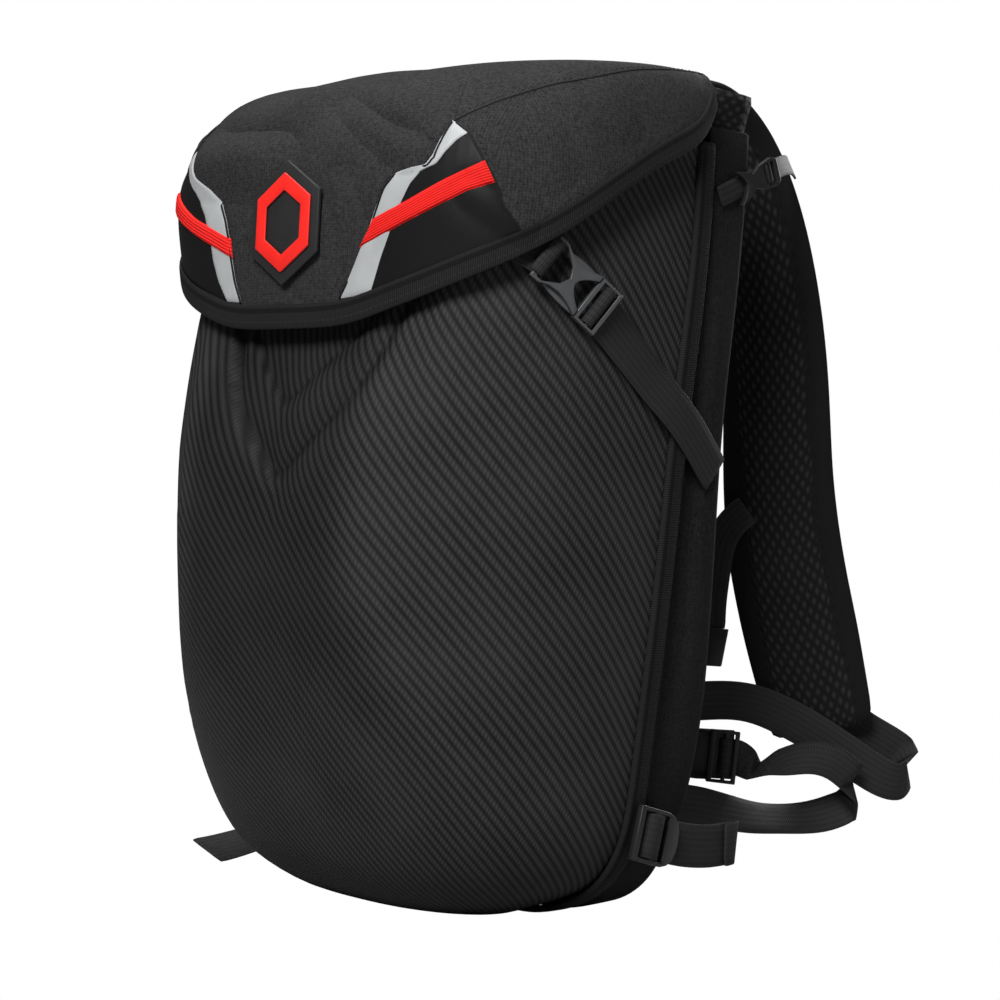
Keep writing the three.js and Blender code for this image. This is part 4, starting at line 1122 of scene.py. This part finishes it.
@dataclass
class ShoulderPads:
    """Padded shoulder straps faced with spacer mesh."""

    finishes: Finishes
    top_end_mm: tuple[float, float, float] = (54, 121, 458)

    def build(self) -> None:
        """Builds both pads."""
        for side in SIDES:
            x, y, z = self.top_end_mm
            end = Vector((x if side == "right" else -x, y, z)) * MM
            node = f"shoulder_pad_{side}"
            bm = copy_of(node)
            first = sorted(bm.verts, key=lambda v: (v.co - end).length)[:RING]
            lay_along(bm, first)
            bm = rounded(bm, from_deg=70, crease=0.3)
            pad = make_piece(bm, f"padding_{side}", self.finishes.mesh, [node], sharp_deg=60)


@dataclass
class Buckles:
    """Moulded buckles, sliders and clips."""

    finishes: Finishes
    bevel_mm: float = 0.6
    clip_reach_mm: float = 1.0
    web_middle_mm: tuple[float, float, float] = (71.0, 199.6, 85.5)
    web_size_mm: tuple[float, float, float] = (42.0, 1.2, 31.0)
    web_way: tuple[float, float] = (0.755, 0.656)
    names: tuple[str, ...] = (
        "buckle_socket", "buckle_prongs", "belt_buckle",
        "base_slider", "lifter_buckle", "sternum_clip",
    )

    def add_web(self, bm: BMesh, flip: bool) -> None:
        """Closes the space between the belt buckle's two arms with its thin web.

        Args:
            bm: The buckle's mesh.
            flip: Whether it is the left one.
        """
        side = -1 if flip else 1
        way = Vector((self.web_way[0] * side, self.web_way[1], 0))
        frame = Matrix((way, Vector((-way.y, way.x, 0)), Vector((0, 0, 1)))).transposed().to_4x4()
        x, y, z = self.web_middle_mm
        place = Matrix.Translation(Vector((x * side, y, z)) * MM) @ frame
        size = Matrix.Diagonal((*(part * MM for part in self.web_size_mm), 1))
        bmesh.ops.create_cube(bm, size=1.0, matrix=place @ size)

    def build(self) -> None:
        """Builds every buckle with rounded mould edges."""
        for name in self.names:
            for side in SIDES:
                bm = copy_of(f"{name}_{side}")
                if name == "sternum_clip":
                    top = max(v.co.z for v in bm.verts)
                    for v in bm.verts:
                        v.co.z += self.clip_reach_mm * MM if v.co.z > top - MM else 0.0
                if name == "belt_buckle":
                    self.add_web(bm, side == "left")
                bevel(bm, self.bevel_mm, segments=2, clamp=True)
                finish = self.finishes.acetal if name.startswith("buckle") else self.finishes.black_acetal
                node = f"{name}_{side}"
                make_piece(bm, f"{node}_moulded", finish, [node], sharp_deg=45)


@dataclass
class Studio:
    """Floor, soft lights and the camera at the photograph's angle."""

    eye: tuple[float, float, float] = (0.9596, -0.8788, 0.238)
    aim: tuple[float, float, float] = (0.0404, 0.0404, 0.238)
    roll_deg: float = 3.0
    lens_mm: float = 79.45
    sensor_mm: float = 36.0
    clip_m: float = 50.0
    floor_m: float = 12.0
    lamp_aim: tuple[float, float, float] = (0.0, 0.05, 0.25)
    lamps: tuple[tuple[tuple[float, float, float], float, float], ...] = (
        ((0.8, -1.55, 1.5), 0.8, 84.0),
        ((2.0, 0.2, 0.5), 1.0, 5.0),
        ((-0.45, -0.1, 2.4), 1.1, 55.0),
        ((-0.2, 2.2, 1.2), 1.0, 60.0),
    )
    ambient: float = 0.1
    white: str = "#ffffff"
    paper_bounce: str = "#a8a8a8"

    def floor(self) -> None:
        """Lays a plain pale floor under the bag."""
        # Seamless white paper: pure white to the eye, with a grey bounce that lifts the lower bag.
        paper = bpy.data.materials.new("white_paper")
        paper.use_nodes = True
        tree = paper.node_tree
        tree.nodes.clear()
        seen = add_node(tree, "ShaderNodeLightPath", {}, {}).outputs["Is Camera Ray"]
        bounce = add_node(tree, "ShaderNodeBsdfDiffuse", {}, {0: linear(self.paper_bounce)})
        white = add_node(tree, "ShaderNodeEmission", {}, {0: linear(self.white), 1: 1.0})
        mixed = add_node(tree, "ShaderNodeMixShader", {}, {0: seen, 1: bounce, 2: white})
        add_node(tree, "ShaderNodeOutputMaterial", {}, {0: mixed})
        bm = bmesh.new()
        bmesh.ops.create_grid(bm, x_segments=2, y_segments=2, size=self.floor_m)
        mesh = bpy.data.meshes.new("floor")
        bm.to_mesh(mesh)
        bm.free()
        mesh.materials.append(paper)
        floor = bpy.data.objects.new("floor", mesh)
        bpy.context.scene.collection.objects.link(floor)

    def light(self) -> None:
        """Hangs the soft boxes and sets an even white surround."""
        for k, (place, size, watts) in enumerate(self.lamps):
            lamp = bpy.data.lights.new(f"soft_box_{k}", "AREA")
            lamp.shape = "SQUARE"
            lamp.size = size
            lamp.energy = watts
            holder = bpy.data.objects.new(lamp.name, lamp)
            holder.location = place
            way = Vector(self.lamp_aim) - Vector(place)
            holder.rotation_euler = way.to_track_quat("-Z", "Y").to_euler()
            bpy.context.scene.collection.objects.link(holder)
        world = bpy.data.worlds.new("surround")
        world.use_nodes = True
        tree = world.node_tree
        tree.nodes.clear()
        seen = add_node(tree, "ShaderNodeLightPath", {}, {}).outputs["Is Camera Ray"]
        even = add_node(tree, "ShaderNodeBackground", {}, {0: linear(self.white), 1: self.ambient})
        white = add_node(tree, "ShaderNodeBackground", {}, {0: linear(self.white), 1: 1.0})
        mixed = add_node(tree, "ShaderNodeMixShader", {}, {0: seen, 1: even, 2: white})
        add_node(tree, "ShaderNodeOutputWorld", {}, {0: mixed})
        bpy.context.scene.world = world

    def camera(self) -> None:
        """Stands the camera where the photograph was taken from."""
        data = bpy.data.cameras.new("camera")
        data.lens = self.lens_mm
        data.sensor_width = self.sensor_mm
        data.clip_end = self.clip_m
        holder = bpy.data.objects.new("camera", data)
        eye = Vector(self.eye)
        aim = (Vector(self.aim) - eye).to_track_quat("-Z", "Y").to_matrix().to_4x4()
        roll = Matrix.Rotation(math.radians(self.roll_deg), 4, "Z")
        holder.matrix_world = Matrix.Translation(eye) @ aim @ roll
        bpy.context.scene.collection.objects.link(holder)
        bpy.context.scene.camera = holder

    def build(self) -> None:
        """Sets up the studio."""
        bpy.context.scene.view_settings.view_transform = "Standard"
        self.floor()
        self.light()
        self.camera()


def main() -> None:
    """Builds the bag piece by piece."""
    logging.basicConfig(level=logging.INFO, format="%(name)s: %(message)s")
    Studio().build()
    finishes = Finishes()
    for part in (Body, Lid, Straps, ShoulderPads, Buckles):
        part(finishes).build()
        LOG.info("%s done", part.__name__)


if __name__ == "__main__":
    main()
